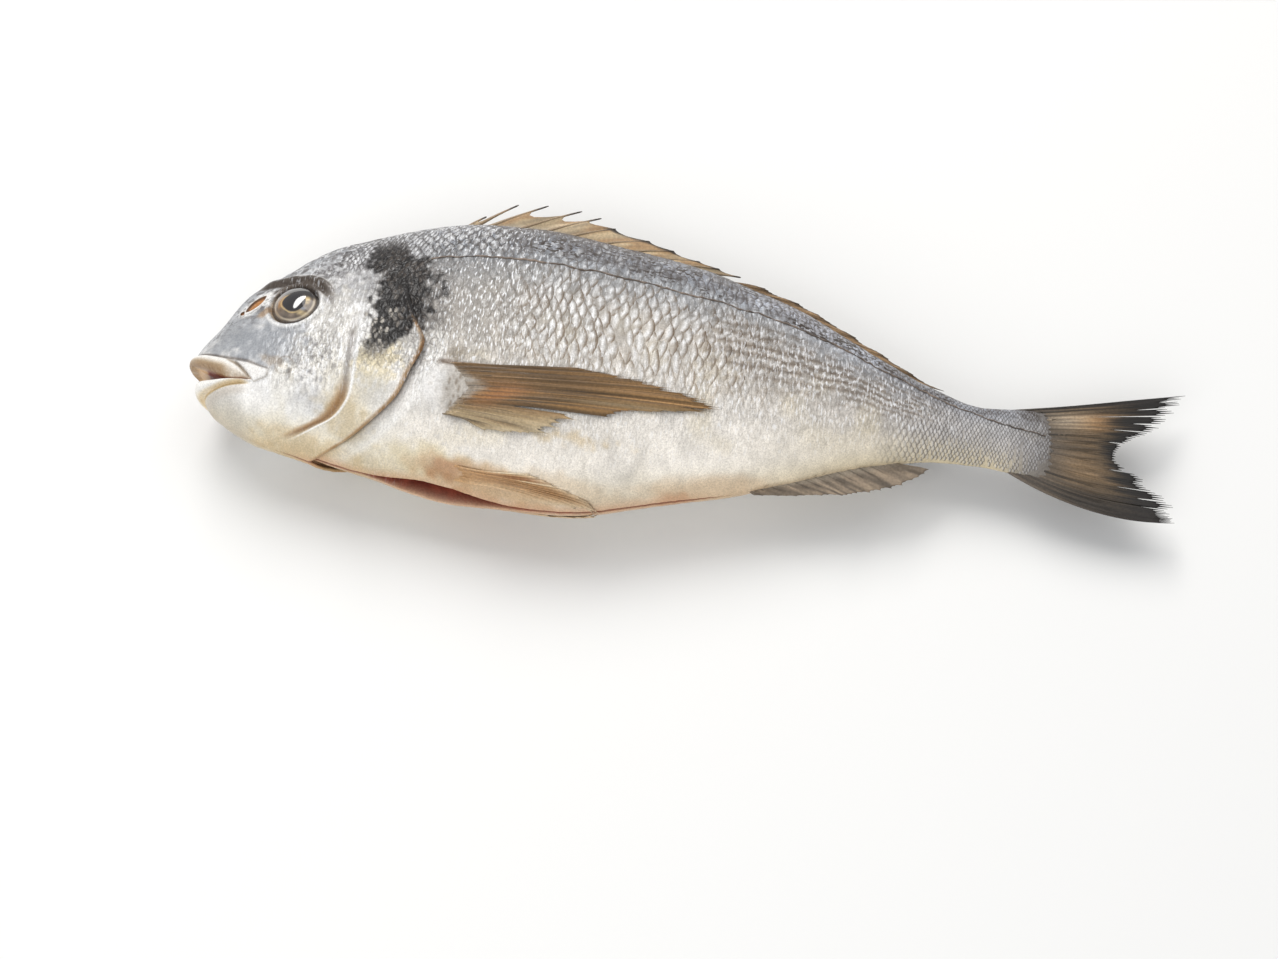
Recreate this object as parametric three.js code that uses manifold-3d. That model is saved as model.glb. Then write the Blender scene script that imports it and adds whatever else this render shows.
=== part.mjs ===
/*
 * A whole raw gilthead sea bream, gutted and laid on its right flank.
 *
 * Millimetres, +Z up. The snout points to -X, the tail to +X, the back to +Y and the belly to -Y.
 * The origin is on the surface that the fish rests on, below the middle of its box.
 *
 * Every shape is first drawn in the fish's own measures:
 *   along  distance from the snout towards the tail
 *   high   height above the fish's axis, towards the back
 *   wide   distance from the plane that parts the two flanks, towards the left flank
 * layDown() then turns those into the frame above, with the tail hanging a little.
 */
import * as THREE from 'three';
import Module from 'manifold-3d';

const wasm = await Module();
wasm.setup();

// ---------------------------------------------------------------- driving dimensions
const TOTAL_LENGTH = 330; // snout to the tips of the tail fin
const BODY_DEPTH = 105; // back to belly at the deepest section
const BODY_THICKNESS = 43; // flank to flank at the thickest section
const PRESSED_FLAT = 1.5; // how far the resting flank is pressed in by its own weight
const TAIL_DROOP = 8; // how far the tips of the tail hang below the line of the body
const DROOP_START = 0.424 * TOTAL_LENGTH;
const DROOP_POWER = 1.7;

const BODY_END = 0.867 * TOTAL_LENGTH; // where the flesh of the tail stalk ends
const RINGS = 58; // rings of the body, closer together towards the snout
const SIDES = 44; // points round a ring, a multiple of 4 so that the edges of the body fall on points
const RING_CROWDING = 1.35;

const HEAD_BEND_START = 0.055 * TOTAL_LENGTH; // where the rings start to bend along the edges on the head
const HEAD_BEND_END = 0.36 * TOTAL_LENGTH;

const GILL_EDGE = 0.229 * TOTAL_LENGTH; // the ring that is bent to follow the edge of the gill cover
const GILL_GAP_START = 1; // the step from the edge of the gill cover to the bottom of the gap behind it
const GILL_GAP_WIDTH = 4;
const GILL_GAP_DEPTH = 1.8;
const GILL_COVER_LIFT = 1.3;
const GILL_COVER_LENGTH = 18; // how far in front of its edge the cover starts to stand proud

const CHEEK_EDGE = 0.172 * TOTAL_LENGTH; // the ring that is bent to follow the groove behind the cheek
const CHEEK_GROOVE_DEPTH = 0.9;
const CHEEK_GROOVE_WIDTH = 3.4;

const MOUTH_LENGTH = 0.077 * TOTAL_LENGTH;
const MOUTH_DEPTH = 5;
const MOUTH_NARROWING = 0.55; // how far the mouth is drawn in from the flanks, of the half thickness
const LIP_SWELL = 0.9;
const LIP_REACH = 4.2; // half the height of both lips together

const EYE = { along: 34.6, high: 16.3, radius: 8.3, swell: 4.2, sunk: 2.6 };

const SLIT_START = 0.11 * TOTAL_LENGTH; // the cut along the belly, from the throat to the vent
const SLIT_GAPE = 0.283 * TOTAL_LENGTH; // where it gapes most
const SLIT_END = 0.56 * TOTAL_LENGTH;
const SLIT_DEPTH = 4.5;

// ---------------------------------------------------------------- small helpers
const radians = THREE.MathUtils.degToRad;
const clamp = THREE.MathUtils.clamp;
const lerp = THREE.MathUtils.lerp;
const smoothstep = THREE.MathUtils.smoothstep;

/** A bump that is 1 at the middle and falls smoothly to 0 at reach. */
function bump(distance, reach) {
  const share = clamp(Math.abs(distance) / reach, 0, 1);
  return (1 - share * share) ** 2;
}

/** A smooth curve through rows of [x, value, value, ...], x rising from row to row, with no overshoot. */
class Spline {
  constructor(rows) {
    this.rows = rows;
    const last = rows.length - 1;
    const rise = (a, b, k) => (rows[b][k] - rows[a][k]) / (rows[b][0] - rows[a][0]);
    this.slopes = rows.map((row, i) => row.map((_, k) => {
      if (i === 0) return rise(0, 1, k);
      if (i === last) return rise(last - 1, last, k);
      const [into, out] = [rise(i - 1, i, k), rise(i, i + 1, k)];
      if (into * out <= 0) return 0;
      const before = row[0] - rows[i - 1][0];
      const after = rows[i + 1][0] - row[0];
      return (into * after + out * before) / (before + after);
    }));
  }

  /** The values at x, held at the ends. */
  at(x) {
    const rows = this.rows;
    const held = clamp(x, rows[0][0], rows[rows.length - 1][0]);
    let i = 0;
    while (i < rows.length - 2 && held > rows[i + 1][0]) i += 1;
    const width = rows[i + 1][0] - rows[i][0];
    const t = (held - rows[i][0]) / width;
    const [t2, t3] = [t * t, t * t * t];
    return rows[i].slice(1).map((_, n) => {
      const k = n + 1;
      return (2 * t3 - 3 * t2 + 1) * rows[i][k] + (t3 - 2 * t2 + t) * width * this.slopes[i][k]
        + (3 * t2 - 2 * t3) * rows[i + 1][k] + (t3 - t2) * width * this.slopes[i + 1][k];
    });
  }
}

// ---------------------------------------------------------------- the body's sections
/*
 * Each row is a section of the body: its place in percent of the total length; its back, belly and widest
 * point in percent of the body's depth, from the axis; its half thickness in percent of the thickest one's;
 * and how much its upper half is pinched towards the ridge of the back, where 1 is an ellipse.
 */
const BODY_SECTIONS = [
  // place  back  belly  widest  half  pinch
  [0.0, -1.9, -1.9, -1.9, 0, 1.0],
  [0.3, 2.2, -6.5, -4.6, 17, 1.0],
  [1.2, 6.7, -12.2, -7.9, 33, 1.0],
  [2.4, 12.0, -16.2, -9.9, 44, 1.0],
  [4.5, 23.6, -21.2, -11.0, 57, 1.0],
  [7.6, 32.0, -25.9, -11.0, 71, 1.0],
  [12.1, 43.2, -29.8, 0.0, 84, 1.0],
  [18.2, 51.6, -33.0, 5.7, 94, 1.05],
  [25.8, 59.0, -36.7, 9.5, 99.5, 1.15],
  [33.3, 60.2, -40.0, 11.4, 100, 1.2],
  [37.9, 58.3, -40.3, 11.4, 98, 1.2],
  [42.4, 55.6, -39.0, 11.4, 93, 1.2],
  [47.0, 53.5, -34.8, 10.5, 86.5, 1.2],
  [51.5, 50.2, -31.2, 9.7, 78, 1.2],
  [56.1, 45.1, -27.2, 8.5, 69, 1.2],
  [60.6, 39.7, -22.2, 7.8, 58, 1.15],
  [68.2, 26.8, -13.0, 5.4, 40, 1.1],
  [74.2, 17.3, -8.4, 3.5, 29, 1.0],
  [79.4, 12.6, -7.9, 2.6, 21.5, 1.0],
  [83.6, 13.9, -9.4, 2.5, 15, 1.0],
  [86.7, 14.6, -9.5, 2.8, 3, 1.0],
];

// Read by the root of the distance from the snout, which rounds the snout off.
const bodySpline = new Spline(BODY_SECTIONS.map(([place, back, belly, widest, half, pinch]) => [
  Math.sqrt((place / 100) * TOTAL_LENGTH),
  (back / 100) * BODY_DEPTH,
  (belly / 100) * BODY_DEPTH,
  (widest / 100) * BODY_DEPTH,
  (half / 200) * BODY_THICKNESS,
  pinch,
]));

function section(along) {
  const [back, belly, widest, half, pinch] = bodySpline.at(Math.sqrt(Math.max(along, 0)));
  return { back, belly, widest, half, pinch };
}

/** A point of the smooth flank. turn is 0 at the widest point, 90 degrees at the back, -90 at the belly. */
function flank(along, turn) {
  const { back, belly, widest, half, pinch } = section(along);
  const [up, out] = [Math.sin(turn), Math.cos(turn)];
  const reach = up > 0 ? back - widest : widest - belly;
  const power = up > 0 ? pinch : 1;
  return new THREE.Vector3(along, widest + reach * up, half * Math.sign(out) * Math.abs(out) ** power);
}

/** The turn at which the left flank has the height high. */
function turnAt(along, high) {
  const { back, belly, widest } = section(along);
  const reach = high > widest ? back - widest : widest - belly;
  return Math.asin(clamp((high - widest) / reach, -1, 1));
}

/** The way out of the smooth flank. */
function flankNormal(along, turn) {
  const step = 0.01;
  const ahead = flank(along + step, turn).sub(flank(along - step, turn));
  const round = flank(along, turn + step).sub(flank(along, turn - step));
  return ahead.cross(round).normalize();
}

// ---------------------------------------------------------------- the body's relief
// How far behind the snout the gill cover's edge lies, by the turn round the body in degrees.
const gillEdge = new Spline([
  [-90, 46], [-75, 51], [-56, 60.6], [-44, 67], [-31, 73.8], [-20, 76.6], [-8, 79.8], [1, 76.5], [12, 72.5],
  [28, 69], [50, 69], [90, 72],
]);

// How far the gill gap is open, by the same turn: shut above the shoulder.
const gillOpen = new Spline([[-90, 0.5], [-60, 0.9], [-20, 1], [9, 1], [17, 0.5], [25, 0], [90, 0]]);

// Where the groove behind the cheek lies, by the same turn.
const cheekEdge = new Spline([
  [-90, 36], [-70, 38.5], [-54, 47.5], [-47, 52.6], [-38, 56.2], [-27, 57.6], [-10, 57.3], [5, 57], [90, 56],
]);

/** A turn in degrees, folded so that the right flank reads as the left one. */
function leftTurn(turn) {
  return THREE.MathUtils.radToDeg(Math.asin(Math.sin(turn)));
}

/** How far a ring bends along the body, so that two of them follow the cheek's and the gill cover's edge. */
function headBend(level, turn) {
  const side = leftTurn(turn);
  const gill = gillEdge.at(side)[0] - GILL_EDGE;
  const bend = new Spline([
    [HEAD_BEND_START, 0], [CHEEK_EDGE, cheekEdge.at(side)[0] - CHEEK_EDGE], [GILL_EDGE, gill],
    [GILL_EDGE + GILL_GAP_START, gill], [HEAD_BEND_END, 0],
  ]);
  return bend.at(level)[0];
}

/** The gill cover stands proud of the shoulder, and a gap runs behind its edge. */
function gillRelief(level, turn) {
  const open = gillOpen.at(leftTurn(turn))[0];
  const behind = level - GILL_EDGE;
  if (behind <= 0) return open * GILL_COVER_LIFT * smoothstep(behind, -GILL_COVER_LENGTH, 0);
  return -open * GILL_GAP_DEPTH * bump(behind - GILL_GAP_START, GILL_GAP_WIDTH);
}

/** The groove behind the cheek. */
function cheekRelief(level, turn) {
  const side = leftTurn(turn);
  const shown = smoothstep(side, -64, -50) * (1 - smoothstep(side, -2, 14));
  return -CHEEK_GROOVE_DEPTH * shown * bump(level - CHEEK_EDGE, CHEEK_GROOVE_WIDTH);
}

/** The lips swell on both sides of the mouth. */
function lipRelief(along, high, seam) {
  const fromMouth = Math.abs(high - seam);
  return LIP_SWELL * bump(along - MOUTH_LENGTH * 0.3, MOUTH_LENGTH * 0.8) * bump(fromMouth - 2.4, LIP_REACH);
}

/** A point of the body's skin, with its relief. */
function skin(level, turn) {
  const along = level + headBend(level, turn);
  const smooth = flank(along, turn);
  const seam = section(along).widest;
  const lift = gillRelief(level, turn) + cheekRelief(level, turn) + lipRelief(along, smooth.y, seam);
  const point = smooth.clone().addScaledVector(flankNormal(Math.max(along, 0.5), turn), lift);

  // The mouth is drawn in along the line where the body is widest, on both flanks.
  const open = smoothstep(along, 0.2, 2.5) * (1 - smoothstep(along, MOUTH_LENGTH / 3, MOUTH_LENGTH));
  const onMouth = open * bump(Math.sin(turn), 0.1);
  point.x += onMouth * MOUTH_DEPTH;
  point.z *= 1 - MOUTH_NARROWING * onMouth;

  // The belly is slit along its middle and drawn up into the body there.
  const onSlit = Math.sin(turn) < 0 ? bump(Math.cos(turn), 0.08) : 0;
  const gape = smoothstep(along, SLIT_START, SLIT_GAPE) * (1 - smoothstep(along, SLIT_GAPE, SLIT_END));
  point.y += onSlit * gape * SLIT_DEPTH;
  return point;
}

// ---------------------------------------------------------------- meshes and solids
/** Moves a point from the fish's own measures to the frame, with the tail hanging. */
function layDown(point) {
  const behind = clamp((point.x - DROOP_START) / (TOTAL_LENGTH - DROOP_START), 0, 1);
  const droop = TAIL_DROOP * behind ** DROOP_POWER;
  return new THREE.Vector3(point.x, point.y, point.z + BODY_THICKNESS / 2 - PRESSED_FLAT - droop);
}

/** A solid from points in the fish's own measures and triangles that all face out, or all face in. */
function solid(points, triangles) {
  const laid = points.map(layDown);
  const made = new wasm.Manifold(new wasm.Mesh({
    numProp: 3,
    vertProperties: new Float32Array(laid.flatMap((p) => p.toArray())),
    triVerts: new Uint32Array(triangles.flat()),
  }));
  return made.volume() < 0 ? solid(points, triangles.map(([a, b, c]) => [a, c, b])) : made;
}

/** A body closed by a point at each end, from rings with the same number of points. */
function lofted(start, rings, end) {
  const count = rings[0].length;
  const points = [start, ...rings.flat(), end];
  const index = (ring, k) => 1 + ring * count + (k % count);
  const triangles = [];
  for (let k = 0; k < count; k += 1) {
    triangles.push([0, index(0, k), index(0, k + 1)]);
    triangles.push([points.length - 1, index(rings.length - 1, k + 1), index(rings.length - 1, k)]);
  }
  for (let ring = 0; ring < rings.length - 1; ring += 1) {
    for (let k = 0; k < count; k += 1) {
      const [a, b] = [index(ring, k), index(ring, k + 1)];
      const [c, d] = [index(ring + 1, k), index(ring + 1, k + 1)];
      triangles.push([a, d, b], [a, c, d]);
    }
  }
  return solid(points, triangles);
}

/**
 * A thin closed sheet. columns is a list of lists of { middle, half }, where half is the vector from the
 * sheet's middle to its left face.
 */
function sheet(columns) {
  const rows = columns[0].length;
  const cells = columns.flat();
  const left = cells.map(({ middle, half }) => middle.clone().add(half));
  const right = cells.map(({ middle, half }) => middle.clone().sub(half));
  const offset = cells.length;
  const at = (column, row) => column * rows + row;
  const triangles = [];
  const rim = [];
  for (let column = 0; column < columns.length - 1; column += 1) {
    for (let row = 0; row < rows - 1; row += 1) {
      const [a, b] = [at(column, row), at(column + 1, row)];
      const [c, d] = [at(column + 1, row + 1), at(column, row + 1)];
      triangles.push([a, b, c], [a, c, d]);
      triangles.push([offset + a, offset + c, offset + b], [offset + a, offset + d, offset + c]);
    }
  }
  for (let column = 0; column < columns.length - 1; column += 1) rim.push(at(column, 0));
  for (let row = 0; row < rows - 1; row += 1) rim.push(at(columns.length - 1, row));
  for (let column = columns.length - 1; column > 0; column -= 1) rim.push(at(column, rows - 1));
  for (let row = rows - 1; row > 0; row -= 1) rim.push(at(0, row));
  rim.forEach((a, k) => {
    const b = rim[(k + 1) % rim.length];
    triangles.push([a, offset + a, offset + b], [a, offset + b, b]);
  });
  return solid([...left, ...right], triangles);
}

/** The vector from the middle of a fin in the fish's plane to its left face. */
function across(thickness) {
  return new THREE.Vector3(0, 0, thickness / 2);
}

// ---------------------------------------------------------------- the body
function body() {
  const levels = Array.from({ length: RINGS }, (_, n) => BODY_END * ((n + 1) / RINGS) ** RING_CROWDING);
  // The rings nearest to the two edges on the head are put on them, and one more in the gap of the gill.
  [CHEEK_EDGE, GILL_EDGE].forEach((edge) => {
    const away = levels.map((level) => Math.abs(level - edge));
    levels[away.indexOf(Math.min(...away))] = edge;
  });
  levels.splice(levels.indexOf(GILL_EDGE) + 1, 0, GILL_EDGE + GILL_GAP_START);
  const rings = levels.map((level) => Array.from({ length: SIDES }, (_, k) => (
    skin(level, (2 * Math.PI * k) / SIDES))));
  const end = new THREE.Vector3(BODY_END, section(BODY_END).widest, 0);
  return lofted(new THREE.Vector3(0, section(0).widest, 0), rings, end);
}

/** A flattened ball that bulges from the head, on the flank that side names: 1 for left, -1 for right. */
function eye(side) {
  const turn = turnAt(EYE.along, EYE.high);
  const normal = flankNormal(EYE.along, turn);
  const turned = new THREE.Quaternion().setFromUnitVectors(new THREE.Vector3(0, 0, 1), normal);
  const centre = flank(EYE.along, turn).addScaledVector(normal, -EYE.sunk);
  const ball = new THREE.SphereGeometry(1, 16, 8);
  const rings = [];
  const read = (k) => new THREE.Vector3().fromBufferAttribute(ball.getAttribute('position'), k);
  for (let row = 1; row < 8; row += 1) {
    rings.push(Array.from({ length: 16 }, (_, k) => read(row * 17 + k)));
  }
  const place = (p) => {
    const shaped = new THREE.Vector3(p.x * EYE.radius, p.z * EYE.radius, p.y * EYE.swell);
    const placed = shaped.applyQuaternion(turned).add(centre);
    return new THREE.Vector3(placed.x, placed.y, placed.z * side);
  };
  return lofted(place(read(0)), rings.map((ring) => ring.map(place)), place(read(8 * 17)));
}

// ---------------------------------------------------------------- fins in the fish's plane
/** The fins' columns: from a root in the body to a tip, in a given number of rows. */
function finColumn(root, tip, rows, thickRoot, thickTip) {
  return Array.from({ length: rows + 1 }, (_, row) => {
    const share = row / rows;
    return {
      middle: new THREE.Vector3(lerp(root[0], tip[0], share), lerp(root[1], tip[1], share), 0),
      half: across(lerp(thickRoot, thickTip, share)),
    };
  });
}

const FIN_ROOT_THICKNESS = 2.2;
const FIN_TIP_THICKNESS = 0.9;
const FIN_ROOT_DEPTH = 3.5; // how far a fin's root reaches into the body

// The back fin's spines: root along the back, then the tip, along and high.
const BACK_SPINES = [
  [85, 89.5, 67.2],
  [89.5, 99.8, 73.2],
  [97, 110.1, 74],
  [105.5, 121.8, 73],
  [114, 128.8, 71],
  [122.5, 134.2, 67.2],
  [131, 146.3, 63.6],
  [139.5, 155, 60.5],
  [148, 164.2, 57.4],
  [156.5, 171, 55.2],
  [165, 178.5, 53],
];
const SOFT_RAYS = 13;
const BACK_SOFT_START = 172;
const BACK_SOFT_END = 238;
const SOFT_LEAN = 9; // how far a folded soft ray's tip lies behind its root
const BACK_SOFT_HEIGHT = 3;
const WEB_MEETS = 0.82; // how far up a spine the web in front of it ends, as a share of the spine
const WEB_GAP = 1; // how far in front of a spine the web starts to rise towards its tip

function backFin() {
  const root = (along) => [along, section(along).back - FIN_ROOT_DEPTH];
  const columns = [];
  const add = (from, to) => columns.push(finColumn(from, to, 2, FIN_ROOT_THICKNESS, FIN_TIP_THICKNESS));
  add(root(83), [84.5, section(84.5).back - 0.5]);
  BACK_SPINES.forEach(([along, tipAlong, tipHigh]) => {
    const from = root(along);
    const web = [lerp(from[0], tipAlong, WEB_MEETS) - WEB_GAP, lerp(from[1], tipHigh, WEB_MEETS)];
    add(root(along - WEB_GAP), web);
    add(from, [tipAlong, tipHigh]);
  });
  for (let k = 0; k <= SOFT_RAYS; k += 1) {
    const along = lerp(BACK_SOFT_START, BACK_SOFT_END, k / SOFT_RAYS);
    const tip = along + SOFT_LEAN;
    const height = BACK_SOFT_HEIGHT * (1 - 0.6 * smoothstep(k, SOFT_RAYS - 4, SOFT_RAYS));
    add(root(along), [tip, section(tip).back + height]);
  }
  return sheet(columns);
}

const ANAL_START = 186;
const ANAL_END = 234;
const ANAL_RAYS = 14;
const ANAL_LEAN = 13;
const analDepth = new Spline([[0, 1.5], [0.2, 5], [0.45, 9.5], [0.7, 9.5], [0.9, 6], [1, 2.5]]);

function analFin() {
  const columns = [];
  for (let k = 0; k <= ANAL_RAYS; k += 1) {
    const share = k / ANAL_RAYS;
    const along = lerp(ANAL_START, ANAL_END, share);
    const tip = along + ANAL_LEAN * (0.3 + 0.7 * smoothstep(share, 0, 0.4));
    columns.push(finColumn(
      [along, section(along).belly + FIN_ROOT_DEPTH],
      [tip, section(tip).belly - analDepth.at(share)[0] + (k % 2) * 0.8],
      2,
      FIN_ROOT_THICKNESS,
      FIN_TIP_THICKNESS,
    ));
  }
  return sheet(columns);
}

/*
 * The tail fin's rays, from its lower edge (0) to its upper edge (1): root, middle and tip, along and high.
 */
const tailRays = new Spline([
  // share  root        middle      tip
  [0.0, 268, -7.4, 296, -19.0, 322.0, -19.6],
  [0.15, 271, -6.0, 297, -15.0, 324.0, -16.0],
  [0.3, 273, -3.2, 297, -8.0, 320.5, -8.8],
  [0.42, 274, -0.4, 297, -2.4, 312.5, -2.6],
  [0.5, 274, 2.0, 297, 2.2, 307.5, 2.4],
  [0.58, 274, 4.4, 297, 6.2, 309.5, 6.4],
  [0.72, 273, 8.2, 297, 11.4, 318.0, 13.4],
  [0.87, 271, 11.4, 297, 16.6, 325.5, 21.4],
  [1.0, 268, 13.4, 297, 20.2, 329.4, 28.6],
]);
const TAIL_COLUMNS = 34;
const TAIL_ROWS = 7;
const TAIL_FRAY = 3.2; // how far every second column ends short of its neighbours
const TAIL_ROOT_THICKNESS = 4.2;

function tailFin() {
  const columns = [];
  for (let k = 0; k <= TAIL_COLUMNS; k += 1) {
    const share = k / TAIL_COLUMNS;
    const [rootX, rootY, midX, midY, tipX, tipY] = tailRays.at(share);
    const fray = TAIL_FRAY * (k % 2) * (0.5 + 0.5 * Math.cos(k * 2.4));
    const curve = new THREE.QuadraticBezierCurve3(
      new THREE.Vector3(rootX, rootY, 0),
      new THREE.Vector3(2 * midX - (rootX + tipX) / 2, 2 * midY - (rootY + tipY) / 2, 0),
      new THREE.Vector3(tipX, tipY, 0),
    );
    const shorter = 1 - fray / (tipX - rootX);
    columns.push(Array.from({ length: TAIL_ROWS + 1 }, (_, row) => {
      const t = row / TAIL_ROWS;
      return {
        middle: curve.getPoint(t * shorter),
        half: across(lerp(TAIL_ROOT_THICKNESS, FIN_TIP_THICKNESS, Math.sqrt(t))),
      };
    }));
  }
  return sheet(columns);
}

// ---------------------------------------------------------------- fins that lie on the flanks
const LAID_FIN_LIFT = 1.7; // how far a laid fin's face stands off the skin at its root
const LAID_FIN_TIP_LIFT = 0.8;
const LAID_FIN_SUNK = 1.6; // how far its other face is sunk in the skin

/** A fin that lies on the flank: rays run from a root to a tip, both given as along and high. */
function laidFin(rays, columnCount, rowCount, side, fray) {
  const columns = [];
  for (let k = 0; k <= columnCount; k += 1) {
    const [rootX, rootY, tipX, tipY] = rays.at(k / columnCount);
    const shorter = 1 - fray * (k % 2);
    columns.push(Array.from({ length: rowCount + 1 }, (_, row) => {
      const t = (row / rowCount) * shorter;
      const along = lerp(rootX, tipX, t);
      const turn = turnAt(along, lerp(rootY, tipY, t));
      const normal = flankNormal(along, turn);
      const lift = lerp(LAID_FIN_LIFT, LAID_FIN_TIP_LIFT, t);
      const middle = flank(along, turn).addScaledVector(normal, (lift - LAID_FIN_SUNK) / 2);
      const half = normal.multiplyScalar((lift + LAID_FIN_SUNK) / 2);
      middle.z *= side;
      half.z *= side;
      return { middle, half };
    }));
  }
  return sheet(columns);
}

// The breast fin's rays, from its upper to its lower edge: root and tip, along and high.
const breastRays = new Spline([
  [0.0, 85, -2.6, 137.8, 0.4],
  [0.16, 86, -5.4, 152, -0.9],
  [0.32, 87, -8.2, 165, -3.1],
  [0.45, 88, -10.8, 174.2, -6.1],
  [0.57, 88.6, -13.0, 160, -10.2],
  [0.68, 89, -15.0, 142, -13.4],
  [0.8, 89, -17.0, 131, -18.4],
  [0.9, 88.6, -18.6, 121, -22.4],
  [1.0, 88, -19.8, 106, -23.4],
]);

// The belly fin's rays, folded together along the belly.
const bellyRays = new Spline([
  [0.0, 95, -33.8, 121.5, -36.4],
  [0.3, 95.6, -35.2, 131, -38.6],
  [0.6, 96.4, -36.6, 141, -40.4],
  [0.85, 97.4, -38.0, 133, -41.4],
  [1.0, 98.4, -38.8, 124, -41.7],
]);

// ---------------------------------------------------------------- the whole fish
const flanks = [1, -1];
const pieces = [
  body(),
  backFin(),
  analFin(),
  tailFin(),
  ...flanks.map((side) => eye(side)),
  ...flanks.map((side) => laidFin(breastRays, 12, 6, side, 0.05)),
  ...flanks.map((side) => laidFin(bellyRays, 5, 4, side, 0)),
];
const joined = pieces.reduce((whole, piece) => whole.add(piece));

/** Everything above the surface that the fish rests on: the flank below it is pressed flat. */
function aboveTheTable() {
  const size = 2 * TOTAL_LENGTH;
  const block = new THREE.BoxGeometry(size, size, size);
  block.translate(TOTAL_LENGTH / 2, 0, size / 2);
  block.deleteAttribute('normal');
  block.deleteAttribute('uv');
  const positions = block.getAttribute('position');
  const corners = [];
  const named = new Map();
  const index = Array.from(block.index.array, (k) => {
    const corner = new THREE.Vector3().fromBufferAttribute(positions, k);
    const name = corner.toArray().join(' ');
    if (!named.has(name)) {
      named.set(name, corners.length);
      corners.push(corner);
    }
    return named.get(name);
  });
  return new wasm.Manifold(new wasm.Mesh({
    numProp: 3,
    vertProperties: new Float32Array(corners.flatMap((p) => p.toArray())),
    triVerts: new Uint32Array(index),
  }));
}

const rested = joined.intersect(aboveTheTable());
const { vertProperties, triVerts } = rested.getMesh();
const geometry = new THREE.BufferGeometry();
geometry.setAttribute('position', new THREE.BufferAttribute(vertProperties, 3));
geometry.setIndex(new THREE.BufferAttribute(triVerts, 1));

geometry.computeBoundingBox();
const { min, max } = geometry.boundingBox;
geometry.translate(-(min.x + max.x) / 2, -(min.y + max.y) / 2, -min.z);
geometry.computeVertexNormals();

const fish = new THREE.Mesh(geometry, new THREE.MeshStandardMaterial({
  color: new THREE.Color(0.72, 0.72, 0.7),
  roughness: 0.32,
  metalness: 0.25,
}));
fish.name = 'sea_bream';

const part = new THREE.Group();
part.add(fish);

export default part;
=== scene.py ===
"""The looks of a whole raw sea bream that lies on its right flank.

Lengths are millimetres in the fish's own measures until lay_down() turns them into metres in the frame:
along is the distance from the snout, high the height above the fish's axis towards the back, and wide the
distance from the plane that parts the flanks, towards the left flank, which lies on top. A turn goes round
the body in degrees: 0 at its widest point on the left, 90 at the back, 180 on the right, -90 at the belly.
"""

from __future__ import annotations

import itertools
import logging
import math
from collections.abc import Callable, Iterable, Mapping, Sequence
from dataclasses import dataclass
from enum import Enum
from functools import reduce

import bmesh
import bpy
import numpy as np
from mathutils import Matrix, Vector


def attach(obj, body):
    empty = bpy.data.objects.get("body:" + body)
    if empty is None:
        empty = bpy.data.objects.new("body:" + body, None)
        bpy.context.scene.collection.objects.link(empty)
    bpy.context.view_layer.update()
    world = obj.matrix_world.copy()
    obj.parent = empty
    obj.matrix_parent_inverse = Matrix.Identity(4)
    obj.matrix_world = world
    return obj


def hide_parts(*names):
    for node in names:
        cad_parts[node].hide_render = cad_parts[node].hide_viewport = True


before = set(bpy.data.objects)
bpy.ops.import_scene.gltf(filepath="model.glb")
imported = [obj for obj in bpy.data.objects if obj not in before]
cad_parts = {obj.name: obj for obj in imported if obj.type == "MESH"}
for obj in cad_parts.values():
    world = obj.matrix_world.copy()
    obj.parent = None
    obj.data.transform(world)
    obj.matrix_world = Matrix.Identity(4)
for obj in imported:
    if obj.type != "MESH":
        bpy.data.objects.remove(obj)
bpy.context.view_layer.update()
log = logging.getLogger("sea_bream")

Array = np.ndarray
Colour = tuple[float, float, float]
Layers = Iterable[tuple[Colour, Array]]
Mesh, Object, Material = bpy.types.Mesh, bpy.types.Object, bpy.types.Material
Node, Socket, Tree = bpy.types.Node, bpy.types.NodeSocket, bpy.types.NodeTree

NODE = "sea_bream"
BODY = "root"
MM = 0.001

LENGTH = 330.0
DEPTH = 105.0
THICKNESS = 43.0
PRESSED = 1.5
DROOP = 8.0
DROOP_START = 0.424 * LENGTH
DROOP_POWER = 1.7
BODY_END = 0.867 * LENGTH
MIDDLE_ALONG = 164.7
MIDDLE_HIGH = 15.777
SNOUT_PUSH = 2.8
SNOUT_END = 26

SCALE_REAR = 0.66
SCALE_BOW = 0.92
WEB_SHARE = 0.985

HASH_X, HASH_Y, HASH_Z = 73856093, 19349663, 83492791
HASH_SEED = 40503
HASH_MIX = 1274126177

WARM = (1.0, 0.985, 0.96)
COOL = (0.98, 0.99, 1.0)

CHEEK_EDGE = 0.172 * LENGTH
GILL_EDGE = 0.229 * LENGTH
HEAD_BEND_START = 0.055 * LENGTH
HEAD_BEND_END = 0.36 * LENGTH


class Flank(Enum):
    """The two flanks, by the sign of wide."""

    LEFT = 1
    RIGHT = -1

    @property
    def flip(self) -> Array:
        """The factors that take a point of the left flank to this one."""
        return np.array([1, 1, self.value])

    def named(self, piece: str) -> str:
        """A piece's name with the flank's behind it."""
        return f"{piece}_{self.name.lower()}"


# ---- numbers
def smooth(value: Array | float, low: float, high: float) -> Array:
    """A smooth step from 0 at low to 1 at high."""
    share = np.clip((np.asarray(value, float) - low) / (high - low), 0.0, 1.0)
    return share * share * (3.0 - 2.0 * share)


def fall(value: Array | float, low: float, high: float) -> Array:
    """A smooth step from 1 at low to 0 at high."""
    return 1 - smooth(value, low, high)


def window(value: Array | float, low: float, on: float, off: float, high: float) -> Array:
    """A smooth hump that rises from 0 at low to 1 at on, and falls from 1 at off to 0 at high."""
    return smooth(value, low, on) * fall(value, off, high)


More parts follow.
